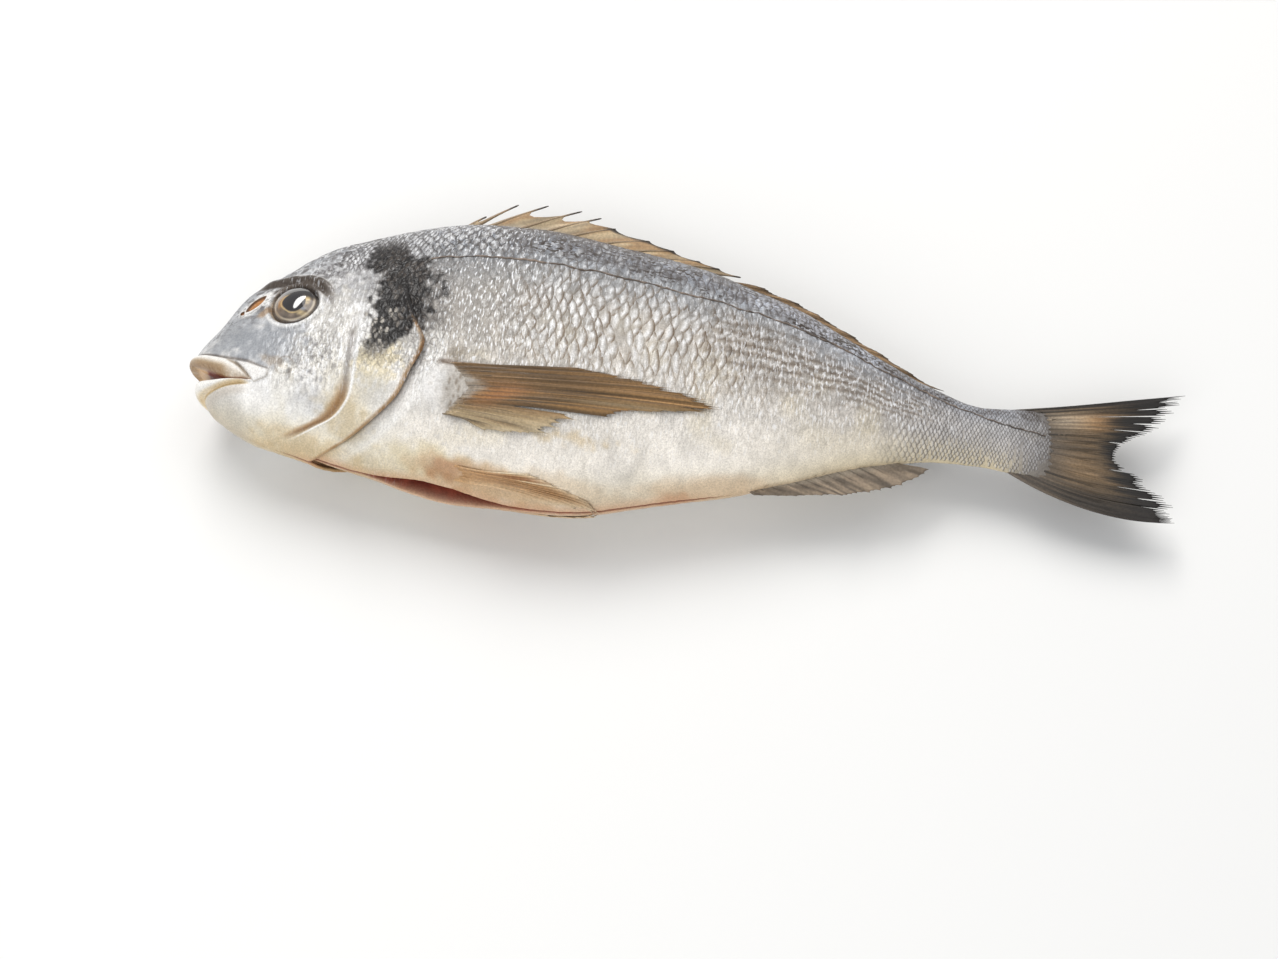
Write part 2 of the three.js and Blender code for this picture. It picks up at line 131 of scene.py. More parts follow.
def bump(distance: Array | float, reach: float | Array) -> Array:
    """A bump that is 1 at distance 0 and falls smoothly to 0 at reach."""
    share = np.clip(np.abs(distance) / reach, 0.0, 1.0)
    return (1.0 - share * share) ** 2


def mottle(points: Array, grain: float | Sequence[float], seed: int = 0) -> Array:
    """Smooth noise.

    Args:
        points: places, with three numbers each.
        grain: the size of one spot, in the unit of the places, the same all round or one for each number.
        seed: picks the pattern.

    Returns:
        Values from 0 to 1, one for each place.
    """
    scaled = points / np.asarray(grain, float)
    cell = np.floor(scaled).astype(np.int64)
    part = scaled - cell
    part = part * part * (3.0 - 2.0 * part)
    total = np.zeros(points.shape[:-1])
    for corner in itertools.product((0, 1), repeat=3):
        here = cell + np.array(corner)
        key = here[..., 0] * HASH_X ^ here[..., 1] * HASH_Y ^ here[..., 2] * HASH_Z ^ (seed + 1) * HASH_SEED
        key = (key ^ (key >> 13)) * HASH_MIX & 0x7FFFFFFF
        weight = np.prod(np.where(np.array(corner) == 1, part, 1.0 - part), axis=-1)
        total += weight * ((key >> 7) & 0xFFFF) / 65535.0
    return total


def on_plane(x: Array, y: Array) -> Array:
    """Places whose third number is 0."""
    return np.stack([x, y, x * 0], axis=-1)


def sway(points: Array, grain: float | Sequence[float], seed: int = 0) -> Array:
    """Smooth noise as mottle() makes it, from -0.5 to 0.5."""
    return mottle(points, grain, seed) - 0.5


def shingle(u: Array, v: Array) -> tuple[Array, Array, Array]:
    """The scale that shows at a place of a map that is measured in scales.

    Args:
        u: the place along the body.
        v: the place across it.

    Returns:
        How far back the place lies on its scale, how far in it lies from the rear rim, both in scales, and a
        number from 0 to 1 that is the scale's own.
    """
    found = []
    for step in (0, 1):
        row = np.floor(v) + step
        reach = SCALE_REAR * (1 - SCALE_BOW * np.abs(v - row) ** 1.8)
        shift = 0.5 * (row % 2)
        found.append((np.ceil(u - reach - shift) + shift, reach, row))
    upper = found[0][0] <= found[1][0]
    seat, reach, row = (np.where(upper, a, b) for a, b in zip(*found))
    luck = np.modf(np.abs(np.sin(seat * 12.9898 + row * 78.233)) * 43758.5453)[0]
    return u - seat, seat + reach - u, luck


def linear(colour: Array) -> Array:
    """Display colours from 0 to 255 as the linear colours that shaders take."""
    share = np.clip(np.asarray(colour, float) / 255.0, 0.0, 1.0)
    return np.where(share <= 0.04045, share / 12.92, ((share + 0.055) / 1.055) ** 2.4)


def tinted(base: Array, colour: Sequence[float], weight: Array) -> Array:
    """The base colours with a colour laid over them by a weight from 0 to 1."""
    share = np.clip(weight, 0.0, 1.0)[..., None]
    return base * (1.0 - share) + np.asarray(colour, float) * share


def layered(paint: Array, layers: Layers) -> Array:
    """Colours with more colours laid over them one after the other, each by its own weight."""
    for colour, weight in layers:
        paint = tinted(paint, colour, weight)
    return paint


def on_left(turn: Array) -> Array:
    """A turn round the body as it reads on the left flank, from -90 at the belly to 90 at the back."""
    return np.degrees(np.arcsin(np.sin(np.radians(turn))))


def plain(colour: Colour, like: Array) -> Array:
    """One display colour for every place."""
    return np.broadcast_to(np.array(colour, float), (*like.shape, 3))


class Curve:
    """A smooth curve through rows of [x, value, ...], x rising from row to row, with no overshoot."""

    def __init__(self, rows: Sequence[Sequence[float]]) -> None:
        """Works out the slopes at the rows."""
        table = np.array(rows, float)
        self.x, self.y = table[:, 0], table[:, 1:]
        width = np.diff(self.x)[:, None]
        rise = np.diff(self.y, axis=0) / width
        mean = (rise[:-1] * width[1:] + rise[1:] * width[:-1]) / (width[:-1] + width[1:])
        self.slope = np.vstack([rise[:1], np.where(rise[:-1] * rise[1:] > 0, mean, 0.0), rise[-1:]])

    def at(self, x: Array | float) -> Array:
        """The values at x, held at the ends, with the kinds of value on the last axis."""
        held = np.clip(np.asarray(x, float), self.x[0], self.x[-1])
        i = np.clip(np.searchsorted(self.x, held, side="right") - 1, 0, len(self.x) - 2)
        width = (self.x[i + 1] - self.x[i])[..., None]
        t = (held - self.x[i])[..., None] / width
        t2, t3 = t * t, t * t * t
        return (
            (2 * t3 - 3 * t2 + 1) * self.y[i]
            + (t3 - 2 * t2 + t) * width * self.slope[i]
            + (3 * t2 - 2 * t3) * self.y[i + 1]
            + (t3 - t2) * width * self.slope[i + 1]
        )

    def one(self, x: Array | float) -> Array:
        """The first value at x."""
        return self.at(x)[..., 0]


# ---- the fish's form
BODY_SECTIONS = (
    # place  back  belly  widest  half  pinch
    (0, -1.9, -1.9, -1.9, 0, 1),
    (0.3, 2.2, -6.5, -4.6, 17, 1),
    (1.2, 6.7, -12.2, -7.9, 33, 1),
    (2.4, 12, -16.2, -9.9, 44, 1),
    (4.5, 23.6, -21.2, -11, 57, 1),
    (7.6, 32, -25.9, -11, 71, 1),
    (12.1, 43.2, -29.8, 0, 84, 1),
    (18.2, 51.6, -33, 5.7, 94, 1.05),
    (25.8, 59, -36.7, 9.5, 99.5, 1.15),
    (33.3, 60.2, -40, 11.4, 100, 1.2),
    (37.9, 58.3, -40.3, 11.4, 98, 1.2),
    (42.4, 55.6, -39, 11.4, 93, 1.2),
    (47, 53.5, -34.8, 10.5, 86.5, 1.2),
    (51.5, 50.2, -31.2, 9.7, 78, 1.2),
    (56.1, 45.1, -27.2, 8.5, 69, 1.2),
    (60.6, 39.7, -22.2, 7.8, 58, 1.15),
    (68.2, 26.8, -13, 5.4, 40, 1.1),
    (74.2, 17.3, -8.4, 3.5, 29, 1),
    (79.4, 12.6, -7.9, 2.6, 20.5, 1),
    (82.4, 13.6, -8.9, 2.5, 14.5, 1),
    (84.8, 14.2, -9.4, 2.6, 7.5, 1),
    (86.7, 14.6, -9.5, 2.8, 0.6, 1),
)
SIDE_LINE = Curve([
    (60, 29.5), (75.4, 33.6), (83.1, 37.8), (99.8, 40), (112.6, 39.8), (125.4, 39), (150.9, 36.6),
    (163.8, 35), (176.6, 33.6), (194, 30.8), (205.3, 27.8), (216.7, 24.2), (228.1, 19.4), (259.4, 8.4),
    (267.9, 6.6), (290, 5.2),
])


@dataclass
class Fish:
    """The form of the fish, shared by its skin, its scales and its fins."""

    eye: tuple[float, float] = (34.6, 16.3)
    eye_radius: float = 8.9
    eye_scale: float = 0.92
    mouth_corner: float = 24.5
    nostril_slit: tuple[float, float] = (20.5, 17.6)
    nostril_hole: tuple[float, float] = (16.4, 13.7)
    sections: Curve = Curve([
        (
            math.sqrt(place / 100 * LENGTH), back / 100 * DEPTH, belly / 100 * DEPTH,
            widest / 100 * DEPTH, half / 200 * THICKNESS, pinch,
        )
        for place, back, belly, widest, half, pinch in BODY_SECTIONS
    ])
    gill_edge: Curve = Curve([
        (-90, 46), (-75, 51), (-56, 60.6), (-44, 67), (-31, 73.8), (-20, 76.6), (-8, 79.8), (1, 76.5),
        (12, 72.5), (28, 69), (50, 69), (90, 72),
    ])
    gill_open: Curve = Curve([
        (-90, 0.5), (-60, 0.9), (-20, 1), (9, 1), (15, 0.6), (20, 0.15), (24, 0), (90, 0),
    ])
    cheek_edge: Curve = Curve([
        (-90, 36), (-70, 38.5), (-54, 47.5), (-47, 52.6), (-38, 56.2), (-27, 57.6), (-10, 57.3), (5, 57),
        (90, 56),
    ])
    lip_crease: Curve = Curve([(0, -0.6), (3.8, -1.4), (14.2, -4.5), (23.4, -6.6), (30, -9.2), (40, -11)])
    lip_groove: Curve = Curve([
        (0, 6), (10, -1.5), (13, -3.2), (15.8, -5.1), (20.7, -8.3), (25.2, -12.7), (28, -16),
    ])
    lower_lip: Curve = Curve([
        (0, 3.2), (4, 3.6), (8, 3.4), (11, 2.9), (15, 1.8), (20, 0.8), (24, 0.5), (30, 0.5),
    ])
    mouth: Curve = Curve([(0, -10.4), (3, -11), (9, -12), (17, -12.6), (26, -13.3), (40, -13.6)])
    gape: Curve = Curve([(0, 5.6), (1.6, 5.3), (5, 4), (9, 2.7), (13, 1.4), (17, 0.4), (26, 0.25), (40, 0.2)])
    brow: Curve = Curve([
        (16, 26), (20, 27.3), (25, 28), (31, 27.9), (37, 26.9), (42, 24.8), (46, 21.4), (49, 17),
    ])
    # How far the skin tucks in and how far it stands off, by the distance behind the gill cover's edge.
    tuck: Curve = Curve([(0, 0), (0.5, 0.1), (0.9, -0.5), (2, -4.2), (2.5, -5), (3, -4.9), (6, 0)])
    cover: Curve = Curve([
        (-20, 0), (-9, 0.45), (-2, 1.15), (-0.8, 1.45), (0, 1.3), (0.5, 0.9), (0.9, 0.3), (2, -0.7),
        (2.5, -1.3), (3, -1.7), (4.5, -1.2), (6.5, -0.6), (10, 0),
    ])
    # Half the gape of the cut along the belly.
    cut: Curve = Curve([
        (34, 0), (50, 0.5), (72, 0.7), (82, 2.1), (93, 2.4), (103, 1.5), (118, 0.7), (150, 0.45), (172, 0.3),
        (184, 0),
    ])

    def section(self, along: Array) -> Array:
        """Back, belly, widest point, half thickness and pinch of the upper half, on the last axis."""
        return self.sections.at(np.sqrt(np.maximum(along, 0.0)))

    def flank(self, along: Array, turn: Array) -> Array:
        """Points of the smooth flank, with no relief."""
        along, turn = np.broadcast_arrays(np.asarray(along, float), np.asarray(turn, float))
        back, belly, widest, half, pinch = np.moveaxis(self.section(along), -1, 0)
        up, out = np.sin(np.radians(turn)), np.cos(np.radians(turn))
        reach = np.where(up > 0, back - widest, widest - belly)
        power = np.where(up > 0, pinch, 1.0)
        return np.stack([along, widest + reach * up, half * np.sign(out) * np.abs(out) ** power], axis=-1)

    def turn_at(self, along: Array, high: Array) -> Array:
        """The turn at which the left flank has a height."""
        back, belly, widest, _, _ = np.moveaxis(self.section(along), -1, 0)
        reach = np.where(high > widest, back - widest, widest - belly)
        return np.degrees(np.arcsin(np.clip((high - widest) / reach, -1.0, 1.0)))

    def outward(self, along: Array, turn: Array) -> Array:
        """The way out of the smooth flank."""
        along = np.maximum(along, 0.5)
        ahead = self.flank(along + 0.02, turn) - self.flank(along - 0.02, turn)
        around = self.flank(along, turn + 0.6) - self.flank(along, turn - 0.6)
        normal = np.cross(ahead, around)
        return normal / np.maximum(np.linalg.norm(normal, axis=-1, keepdims=True), 1e-9)

    def bend(self, level: Array, side: Array) -> Array:
        """How far a ring bends along the body to follow the cheek's and the gill cover's edge."""
        cheek = self.cheek_edge.one(side) - CHEEK_EDGE
        gill = self.gill_edge.one(side) - GILL_EDGE
        front = cheek * smooth(level, HEAD_BEND_START, CHEEK_EDGE)
        middle = cheek + (gill - cheek) * smooth(level, CHEEK_EDGE, GILL_EDGE)
        rear = gill * fall(level, GILL_EDGE + 1, HEAD_BEND_END)
        return np.where(level < CHEEK_EDGE, front, np.where(level < GILL_EDGE, middle, rear))

    def place(self, level: Array, turn: Array) -> tuple[Array, Array, Array]:
        """Where a ring meets a turn.

        Args:
            level: the ring's own distance from the snout, before it bends.
            turn: the turn round the body.

        Returns:
            The distance along, the turn as read on the left flank, and how far the gill gap is open.
        """
        side = on_left(turn)
        wide_open = self.gill_open.one(side)
        tucked = wide_open * self.tuck.one(level - GILL_EDGE)
        return level + self.bend(level, side) + tucked, side, wide_open

    def relief(self, level: Array, side: Array, wide_open: Array, smooth_skin: Array) -> Array:
        """How far the skin stands off the smooth flank."""
        along, high = smooth_skin[..., 0], smooth_skin[..., 1]
        lift = wide_open * self.cover.one(level - GILL_EDGE)
        # The groove and the ridge behind the cheek.
        shown = window(side, -70, -52, 0, 16)
        from_cheek = level - CHEEK_EDGE
        lift += shown * (0.25 * bump(from_cheek - 1.4, 1) - 0.5 * bump(from_cheek + 0.1, 1.5))
        # The eye's pit, its rim, and the brow.
        off = self.from_eye(along, high)
        lid = 1.3 * smooth(high - self.eye[1], 2, 5.5)
        lift += 0.75 * bump(off + 0.6 * lid - 10.2, 1.7) - 1.9 * fall(off + lid, 8.1, 9.7)
        above = high - self.brow.one(along)
        lift += window(along, 18, 24, 43, 49) * (0.9 * bump(above - 0.6, 2.2) - 0.4 * bump(above + 2.2, 1.2))
        deep, rim = self.nose(along, high)
        lift += 0.15 * rim - 2.4 * deep + self.lips(along, high)
        return lift + self.fleshy_root(along, high) + self.wrinkles(along, high, smooth_skin)

    def from_eye(self, along: Array, high: Array) -> Array:
        """The distance from the middle of the eye, in the measure of its rings."""
        return np.hypot(along - self.eye[0], high - self.eye[1]) / self.eye_scale

    def wrinkles(self, along: Array, high: Array, points: Array) -> Array:
        """Small scales on the cheek and the gill cover, upright wrinkles, and soft unevenness all over."""
        back, rim, _ = self.small_scales(points)
        lift = 0.17 * (back + 0.3) * smooth(rim, 0, 0.16) * self.scaly(along, high)
        cheek, upright = self.on_cheek(along, high, points)
        lift += 0.75 * upright * cheek
        crown = smooth(high, 14, 24) * bump(along - 44, 18)
        lift += 0.7 * sway(points, (2.6, 1.5, 1.5), 18) * crown
        lift += 0.5 * sway(points, 13, 3) * smooth(along, 30, 70)
        lift += 0.24 * sway(points, (1.3, 2.4, 2.4), 5) * smooth(along, 10, 30)
        # Soft folds run forward from behind the gill opening.
        slope = points @ np.array([[0.85, 0.52, 0.0], [-0.52, 0.85, 0.0], [0.0, 0.0, 1.0]]).T
        folds = sway(slope, (6, 1.7, 3), 19)
        return lift + 0.7 * folds * bump(along - 84, 13) * bump(high + 20, 20)

    def small_scales(self, points: Array) -> tuple[Array, Array, Array]:
        """The small scales of the head, as shingle() gives them."""
        u = points[..., 0] / 2.2 + 1.1 * mottle(points, 8, 15)
        v = points[..., 1] / 1.9 + 1.1 * mottle(points, 8, 16)
        return shingle(u, v)

    def scaly(self, along: Array, high: Array) -> Array:
        """How plainly the small scales of the head show."""
        cheek = 0.7 * bump(along - 44, 14) * bump(high + 4, 22)
        cover = window(along, 57, 60, 84, 90) * window(high, -12, -3, 42, 50)
        return np.maximum(cheek, cover)

    def on_cheek(self, along: Array, high: Array, points: Array) -> tuple[Array, Array]:
        """How surely a place is on the cheek, and the noise of its upright wrinkles."""
        return bump(along - 45, 15) * bump(high + 6, 19), sway(points, (0.8, 2.4, 2.4), 17)

    def fleshy_root(self, along: Array, high: Array) -> Array:
        """The swelling that the breast fin grows out of, which falls off steeply behind."""
        run, rise = along - 85.0, high + 10.6
        rear = 15.5 - 0.1 * rise**2
        swell = smooth(run, -8, 2) * fall(run - rear, -6.5, -1.5)
        front = 1.4 - 0.95 * smooth(run, 2, 8)
        return (front * swell + 0.4 * bump(run + 1, 7)) * fall(np.abs(rise), 4.5, 9.5)

    def nose(self, along: Array, high: Array) -> tuple[Array, Array]:
        """The nostrils: a long slit and a small round hole in front of it.

        Returns:
            How deep a place lies in a nostril and how surely it is on the rim, from 0 to 1.
        """
        run, rise = along - self.nostril_slit[0], high - self.nostril_slit[1]
        down, off = run * 0.64 + rise * 0.768, run * 0.768 - rise * 0.64
        slit = np.hypot(down / 4.9, off / (1.85 - 0.12 * down))
        hole = np.hypot(along - self.nostril_hole[0], (high - self.nostril_hole[1]) * 0.8)
        deep = np.maximum(fall(slit, 0.5, 1.05), fall(hole, 0.5, 1.15))
        rim = np.maximum(bump(slit - 1.25, 0.4), 0.6 * bump(hole - 1.5, 0.6))
        return deep, rim

    def lip(self, along: Array, high: Array) -> tuple[Array, Array, Array, Array]:
        """Where a place lies on the lips.

        Returns:
            The height above the lower lip, the share of the upper lip's height, the distance behind the
            groove that runs from the lip's crease down to the corner of the mouth, and the share of the
            height between the upper lip's edge and the crease.
        """
        mouth, crease, groove = (c.one(along) for c in (self.mouth, self.lip_crease, self.lip_groove))
        off, edge = high - mouth, self.gape.one(along)
        share = (off - edge) / np.maximum(np.minimum(crease, groove) - mouth - edge, 0.3)
        return off, share, (high - groove) * 0.72, (off - edge) / (crease - mouth - edge)

    def within_mouth(self, along: Array, high: Array) -> Array:
        """How surely a place is between the lips."""
        off, edge = high - self.mouth.one(along), self.gape.one(along)
        return smooth(off, -0.4, 0.2) * fall(off - edge, -0.3, 0.3)

    def notch(self, along: Array, high: Array) -> Array:
        """How far back the open front of the mouth lies."""
        off = high - self.mouth.one(along)
        return 6.2 * smooth(off, -0.1, 0.7) * np.clip(1 - off / 5.4, 0.0, 1.0) * fall(along, 2, 18)

    def lips(self, along: Array, high: Array) -> Array:
        """The lips, the gape between them, and the plate that covers the corner of the mouth."""
        off, share, behind, rise = self.lip(along, high)
        corner = fall(along, self.mouth_corner - 2, self.mouth_corner + 2)
        upper = 1.7 * np.sin(math.pi * np.clip(share, 0, 1)) ** 0.7 * corner
        crease = -0.4 * bump(rise - 1.04, 0.11) * fall(along, 29, 33)
        groove = -0.35 * bump(behind, 0.8) * smooth(off, -0.2, 0.6) * fall(rise, 0.9, 1.05)
        thick = self.lower_lip.one(along)
        lower = 1.2 * bump(off + thick / 2, thick / 2 + 0.4) - 0.7 * bump(off + thick + 0.5, 0.9)
        lower += 0.4 * bump(off + thick + 3.6, 2.6)
        inside = -1.5 * self.within_mouth(along, high)
        lift = (upper + crease + groove) * smooth(off, -1, 0.4)
        lift += corner * (lower + inside * smooth(along, -1, 0.5))
        return lift + 0.9 * self.plate(along, high) + 0.3 * bump(np.hypot(along - 36, high + 7.9) - 2.2, 0.9)

    def plate(self, along: Array, high: Array) -> Array:
        """How surely a place is on the plate behind the lip, which is a triangle with a blunt rear end."""
        _, _, behind, rise = self.lip(along, high)
        rear = (along - 30.4) - 0.8 * bump(high + 11, 3)
        low = np.minimum(high + 13.2 + 0.6 * (along - 25.2), high + 14.2 - 0.5 * (along - 27.4))
        inside = smooth(behind, 0.2, 0.9) * fall(rise, 0.84, 0.97)
        return inside * fall(rear, -0.6, 0.5) * smooth(low, -0.4, 0.5) * (along > 12)

    def below(self, side: Array) -> Array:
        """How surely a place is on the belly's edge, which the cut parts."""
        return smooth(-side, 55, 75)

    def skin(self, level: Array, turn: Array) -> Array:
        """Points of the skin with its relief, in the fish's measures."""
        level, turn = np.broadcast_arrays(np.asarray(level, float), np.asarray(turn, float))
        along, side, wide_open = self.place(level, turn)
        base = self.flank(along, turn)
        points = base + self.outward(along, turn) * self.relief(level, side, wide_open, base)[..., None]
        points[..., 0] += self.notch(along, base[..., 1])
        # The cut along the belly, with the right wall hanging lower than the left one.
        gape = self.cut.one(along)
        below = self.below(side)
        into = fall(np.abs(points[..., 2]), gape * 0.55, gape + 0.35)
        sagging = bump(along - 88, 26) * below
        points[..., 1] += below * (2.6 * gape + 0.4) * into * (gape > 0.02)
        points[..., 1] += sagging * np.where(points[..., 2] > 0, 1.0, -2.3) * (1 - into)
        return points


def lay_down(points: Array) -> Array:
    """Points in the fish's measures as points in the frame, with the tail hanging and the flank pressed."""
    along = points[..., 0] + SNOUT_PUSH * fall(points[..., 0], -8, SNOUT_END)
    behind = np.clip((along - DROOP_START) / (LENGTH - DROOP_START), 0.0, 1.0)
    up = points[..., 2] + THICKNESS / 2 - PRESSED - DROOP * behind**DROOP_POWER
    laid = [along - MIDDLE_ALONG, points[..., 1] - MIDDLE_HIGH, np.maximum(up, 0.0)]
    return np.stack(laid, axis=-1) * MM


# ---- colours
@dataclass(frozen=True)
class Patch:
    """A patch of colour on both flanks: a leaning oval with a soft or a ragged edge."""

    colour: Colour
    middle: tuple[float, float]
    reach: tuple[float, float]
    lean: float = 0.0
    weight: float = 1.0
    soft: float = 0.3
    ragged: float = 0.25
    grain: float = 3.0

    def over(self, paint: Array, points: Array) -> Array:
        """Lays the patch over the colours of places."""
        run, rise = points[..., 0] - self.middle[0], points[..., 1] - self.middle[1]
        c, s = math.cos(math.radians(self.lean)), math.sin(math.radians(self.lean))
        edge = np.hypot((run * c + rise * s) / self.reach[0], (rise * c - run * s) / self.reach[1])
        edge += self.ragged * 2 * sway(points, self.grain, 9)
        return tinted(paint, self.colour, self.weight * fall(edge, 1 - self.soft, 1 + self.soft))


PATCHES = (
    # colour, middle, reach, lean, weight, soft, ragged, grain
    Patch((146, 148, 152), (15.5, 6), (12, 5.6), 52, 0.8, 0.4, 0.4, 1.8),
    Patch((180, 181, 184), (28.6, 1), (12.6, 9.4), 4, 0.85, 0.4, 0.5, 2),
    Patch((136, 139, 144), (27.8, 0.4), (11, 7.4), 6, 0.7, 0.8, 0.9, 1.4),
    Patch((136, 135, 137), (52.5, 24), (9.5, 13), -20, 0.7, 0.6, 0.7, 1.8),
    Patch((150, 149, 151), (48, 12), (5, 9), 10, 0.55, 0.6, 0.8, 1.6),
    Patch((150, 134, 116), (31.5, -6.2), (3.6, 1.8), -20, 0.6, 0.5, 0.6, 1.2),
    Patch((228, 226, 223), (22.6, 20.4), (5.5, 2.6), 50, 0.8, 0.3, 0.1),
    # Painted shade on the jaw below the mouth.
    Patch((176, 170, 160), (17, -21.5), (11, 5), -46, 0.5, 0.5, 0.1),
    Patch((236, 234, 231), (37, -16), (15, 4.6), -24, 0.6, 0.5, 0.6, 2.2),
    Patch((196, 194, 193), (47.5, -19.5), (6, 3.4), -34, 0.6, 0.5, 0.5),
    Patch((190, 172, 138), (58, -22.5), (8, 6), -34, 0.7, 0.6, 0.6, 2),
    Patch((222, 216, 204), (49, 6), (8, 16), 0, 0.5, 0.6, 0.8, 1.8),
    Patch((222, 204, 160), (66, -5.5), (7, 6.6), 0, 0.6, 0.5, 0.8, 1.3),
    Patch((186, 182, 174), (66, -14), (7, 5), -30, 0.6, 0.5),
    Patch((186, 158, 112), (46, -32), (16, 3.8), -10, 0.45, 0.6, 0.5),
    Patch((236, 234, 230), (82, -4), (4, 9), 18, 0.6, 0.5, 0.3),
    Patch((176, 170, 164), (97, -10), (8, 9), 0, 0.9, 0.3, 0.2),
    # Painted shadow: a grey crescent where the fin root's swelling falls off behind.
    Patch((170, 162, 154), (93.4, -10.6), (3.4, 9), 4, 0.7, 0.8, 0.3),
    Patch((226, 223, 220), (84.2, -9.6), (6, 7.6), -12, 0.9, 0.6, 0.2),
    Patch((134, 122, 108), (94.6, -10.8), (5, 8.4), -4, 0.9, 0.35, 0.3, 1.2),
    Patch((202, 197, 190), (93.4, -10.8), (4.4, 7.6), 0, 0.75, 0.3, 2.2, 0.8),
    Patch((106, 88, 72), (89.5, -3), (7.5, 0.9), -3, 0.9, 0.4),
    Patch((134, 122, 104), (91, 0.5), (3, 2.4), 0, 0.6, 0.5, 0.4),
    Patch((204, 188, 150), (86, -33.5), (13, 4.4), -6, 0.6, 0.5, 0.5),
    Patch((182, 146, 104), (104, -37), (20, 3.8), -9, 0.75, 0.4, 0.3),
    Patch((162, 116, 78), (92, -35.2), (7, 2.2), -8, 0.6, 0.5, 0.5),
    Patch((204, 182, 152), (132, -38), (18, 3.6), -6, 0.6, 0.5, 0.3),
    Patch((204, 178, 134), (132, -23), (12, 1.8), 0, 0.5, 0.6, 1.1, 2),
    Patch((180, 128, 92), (165, -34), (5, 1.6), 8, 0.6, 0.5, 0.6),
    Patch((196, 164, 128), (176, -30), (22, 3), 12, 0.5, 0.5),
)


@dataclass(frozen=True)
class Coat:
    """The colours of the skin, as display colours from 0 to 255."""

    blotch: Colour = (16, 13, 12)
    gold: Colour = (214, 194, 146)
    rust: Colour = (146, 104, 58)
    flesh: Colour = (104, 38, 28)

    def around(self, side: Array, along: Array) -> Array:
        """The ground colour, from the belly over the flank to the back."""
        trunk = Curve([
            (-90, 200, 179, 150), (-72, 218, 206, 185), (-50, 228, 221, 211), (-25, 212, 206, 198),
            (-5, 187, 180, 171), (15, 162, 156, 149), (30, 144, 144, 145), (38, 151, 155, 161),
            (48, 142, 146, 155), (62, 130, 132, 140), (78, 118, 120, 126), (90, 98, 99, 104),
        ])
        head = Curve([
            (-90, 198, 178, 142), (-66, 216, 205, 182), (-45, 228, 223, 213), (-20, 238, 235, 231),
            (10, 230, 228, 226), (32, 206, 204, 202), (50, 178, 179, 182), (68, 132, 134, 138),
            (90, 96, 97, 101),
        ])
        stalk = Curve([
            (-90, 182, 168, 138), (-50, 176, 165, 144), (-20, 156, 150, 143), (15, 145, 143, 143),
            (45, 130, 132, 138), (90, 98, 100, 106),
        ])
        forward = fall(along, 62, 88)[..., None]
        rear = smooth(along, 165, 262)[..., None]
        ground = trunk.at(side) * (1 - forward) + head.at(side) * forward
        ground = ground * (1 - rear) + stalk.at(side) * rear
        lit = 0.1 * smooth(along, 140, 200) + 0.34 * bump(along - 208, 36) * smooth(side, 30, 44)
        lit = lit - 0.18 * bump(along - 98, 40) * window(side, -15, 5, 30, 40)
        lit = lit - 0.08 * bump(along - 108, 30) * smooth(side, 30, 40)
        lit = lit + 0.08 * smooth(along, 150, 190) * smooth(side, 38, 52)
        ground = ground * (1 + lit)[..., None]
        ground = tinted(ground, (112, 108, 106), 0.8 * smooth(along + 0.03 * np.abs(side), 268, 282))
        return tinted(ground, (84, 76, 68), 0.8 * smooth(along + 0.03 * np.abs(side), 279, 289))

    def blotching(self, along: Array, high: Array, points: Array) -> Array:
        """How black the blotch above the gill cover is."""
        spine = Curve([
            (-5, 64, 2.2), (4, 66, 6), (12, 71.6, 11), (20, 72.2, 10.8), (28, 71, 10.4), (36, 66.5, 9.6),
            (44, 60, 6),
        ])
        where, reach = np.moveaxis(spine.at(high), -1, 0)
        edge = np.abs(along - where) / reach
        edge += 0.8 * sway(points, 1.7, 11) + 0.7 * sway(points, 5.5, 12)
        pale = smooth(along, 76, 80) * fall(high, 14, 24) * smooth(mottle(points, 2.6, 13), 0.35, 0.6)
        core = bump(along - 72.5 + 0.12 * (high - 24), 7.5) * bump(high - 25, 16)
        spread_out = fall(edge, 0.72, 1.15) * (1 - 0.6 * pale)
        return np.maximum(spread_out, smooth(core, 0.25, 0.6)) * window(high, -6, 4, 40, 49)

    def traits(self, fish: Fish, level: Array, turn: Array, points: Array) -> Array:
        """How the surface looks close up: how streaked, how flecked and how scaly it is, from 0 to 1. The
        streak share also sets painted glints and painted shade in creases.
        """
        along, side, _ = fish.place(level, turn)
        front = bump(along - 96, 26)
        streak = 0.22 * smooth(side, -64, -46) + 0.53 * smooth(side, -50, -10)
        streak += 0.25 * front * smooth(side, -25, 0)
        head = fall(along, 60, 84)
        cheek = bump(along - 46, 19) * bump(side + 10, 42)
        streak = streak * (1 - head) + head * (0.4 * smooth(along, 20, 36) + 0.6 * cheek)
        back = smooth(side, 33, 42) * smooth(along, 60, 90)
        rear = bump(along - 196, 48) * bump(side - 10, 32)
        bare = bump(along - 150, 42) * bump(side - 10, 34)
        kept = (1 - 0.6 * back * smooth(along, 100, 130)) * (1 - 0.75 * smooth(along, 235, 258))
        streak *= kept * (1 - 0.6 * bare)
        cluster = smooth(mottle(points, (9, 4.5, 4.5), 25), 0.38, 0.62)
        nape = fall(along, 96, 116)
        fleck = np.maximum(back * (0.45 + 0.55 * cluster) * (1 - 0.6 * nape), 0.3 * rear)
        fleck *= 1 - 0.5 * smooth(along, 245, 262)
        fleck = np.maximum(fleck, 0.5 * head * smooth(side, 20, 50))
        black = self.blotching(along, points[..., 1], points)
        scaly = np.maximum(black, 0.4 * fish.scaly(along, points[..., 1])) * fall(along, 86, 92)
        root = bump(np.hypot((along - 93) / 1.2, points[..., 1] + 11), 12)
        streak = streak * (1 - 0.8 * black) * fall(root, 0.05, 0.3)
        streak *= 1 - 0.85 * head * smooth(-side, 14, 34)
        return np.stack([streak, fleck * (1 - black), scaly], axis=-1)

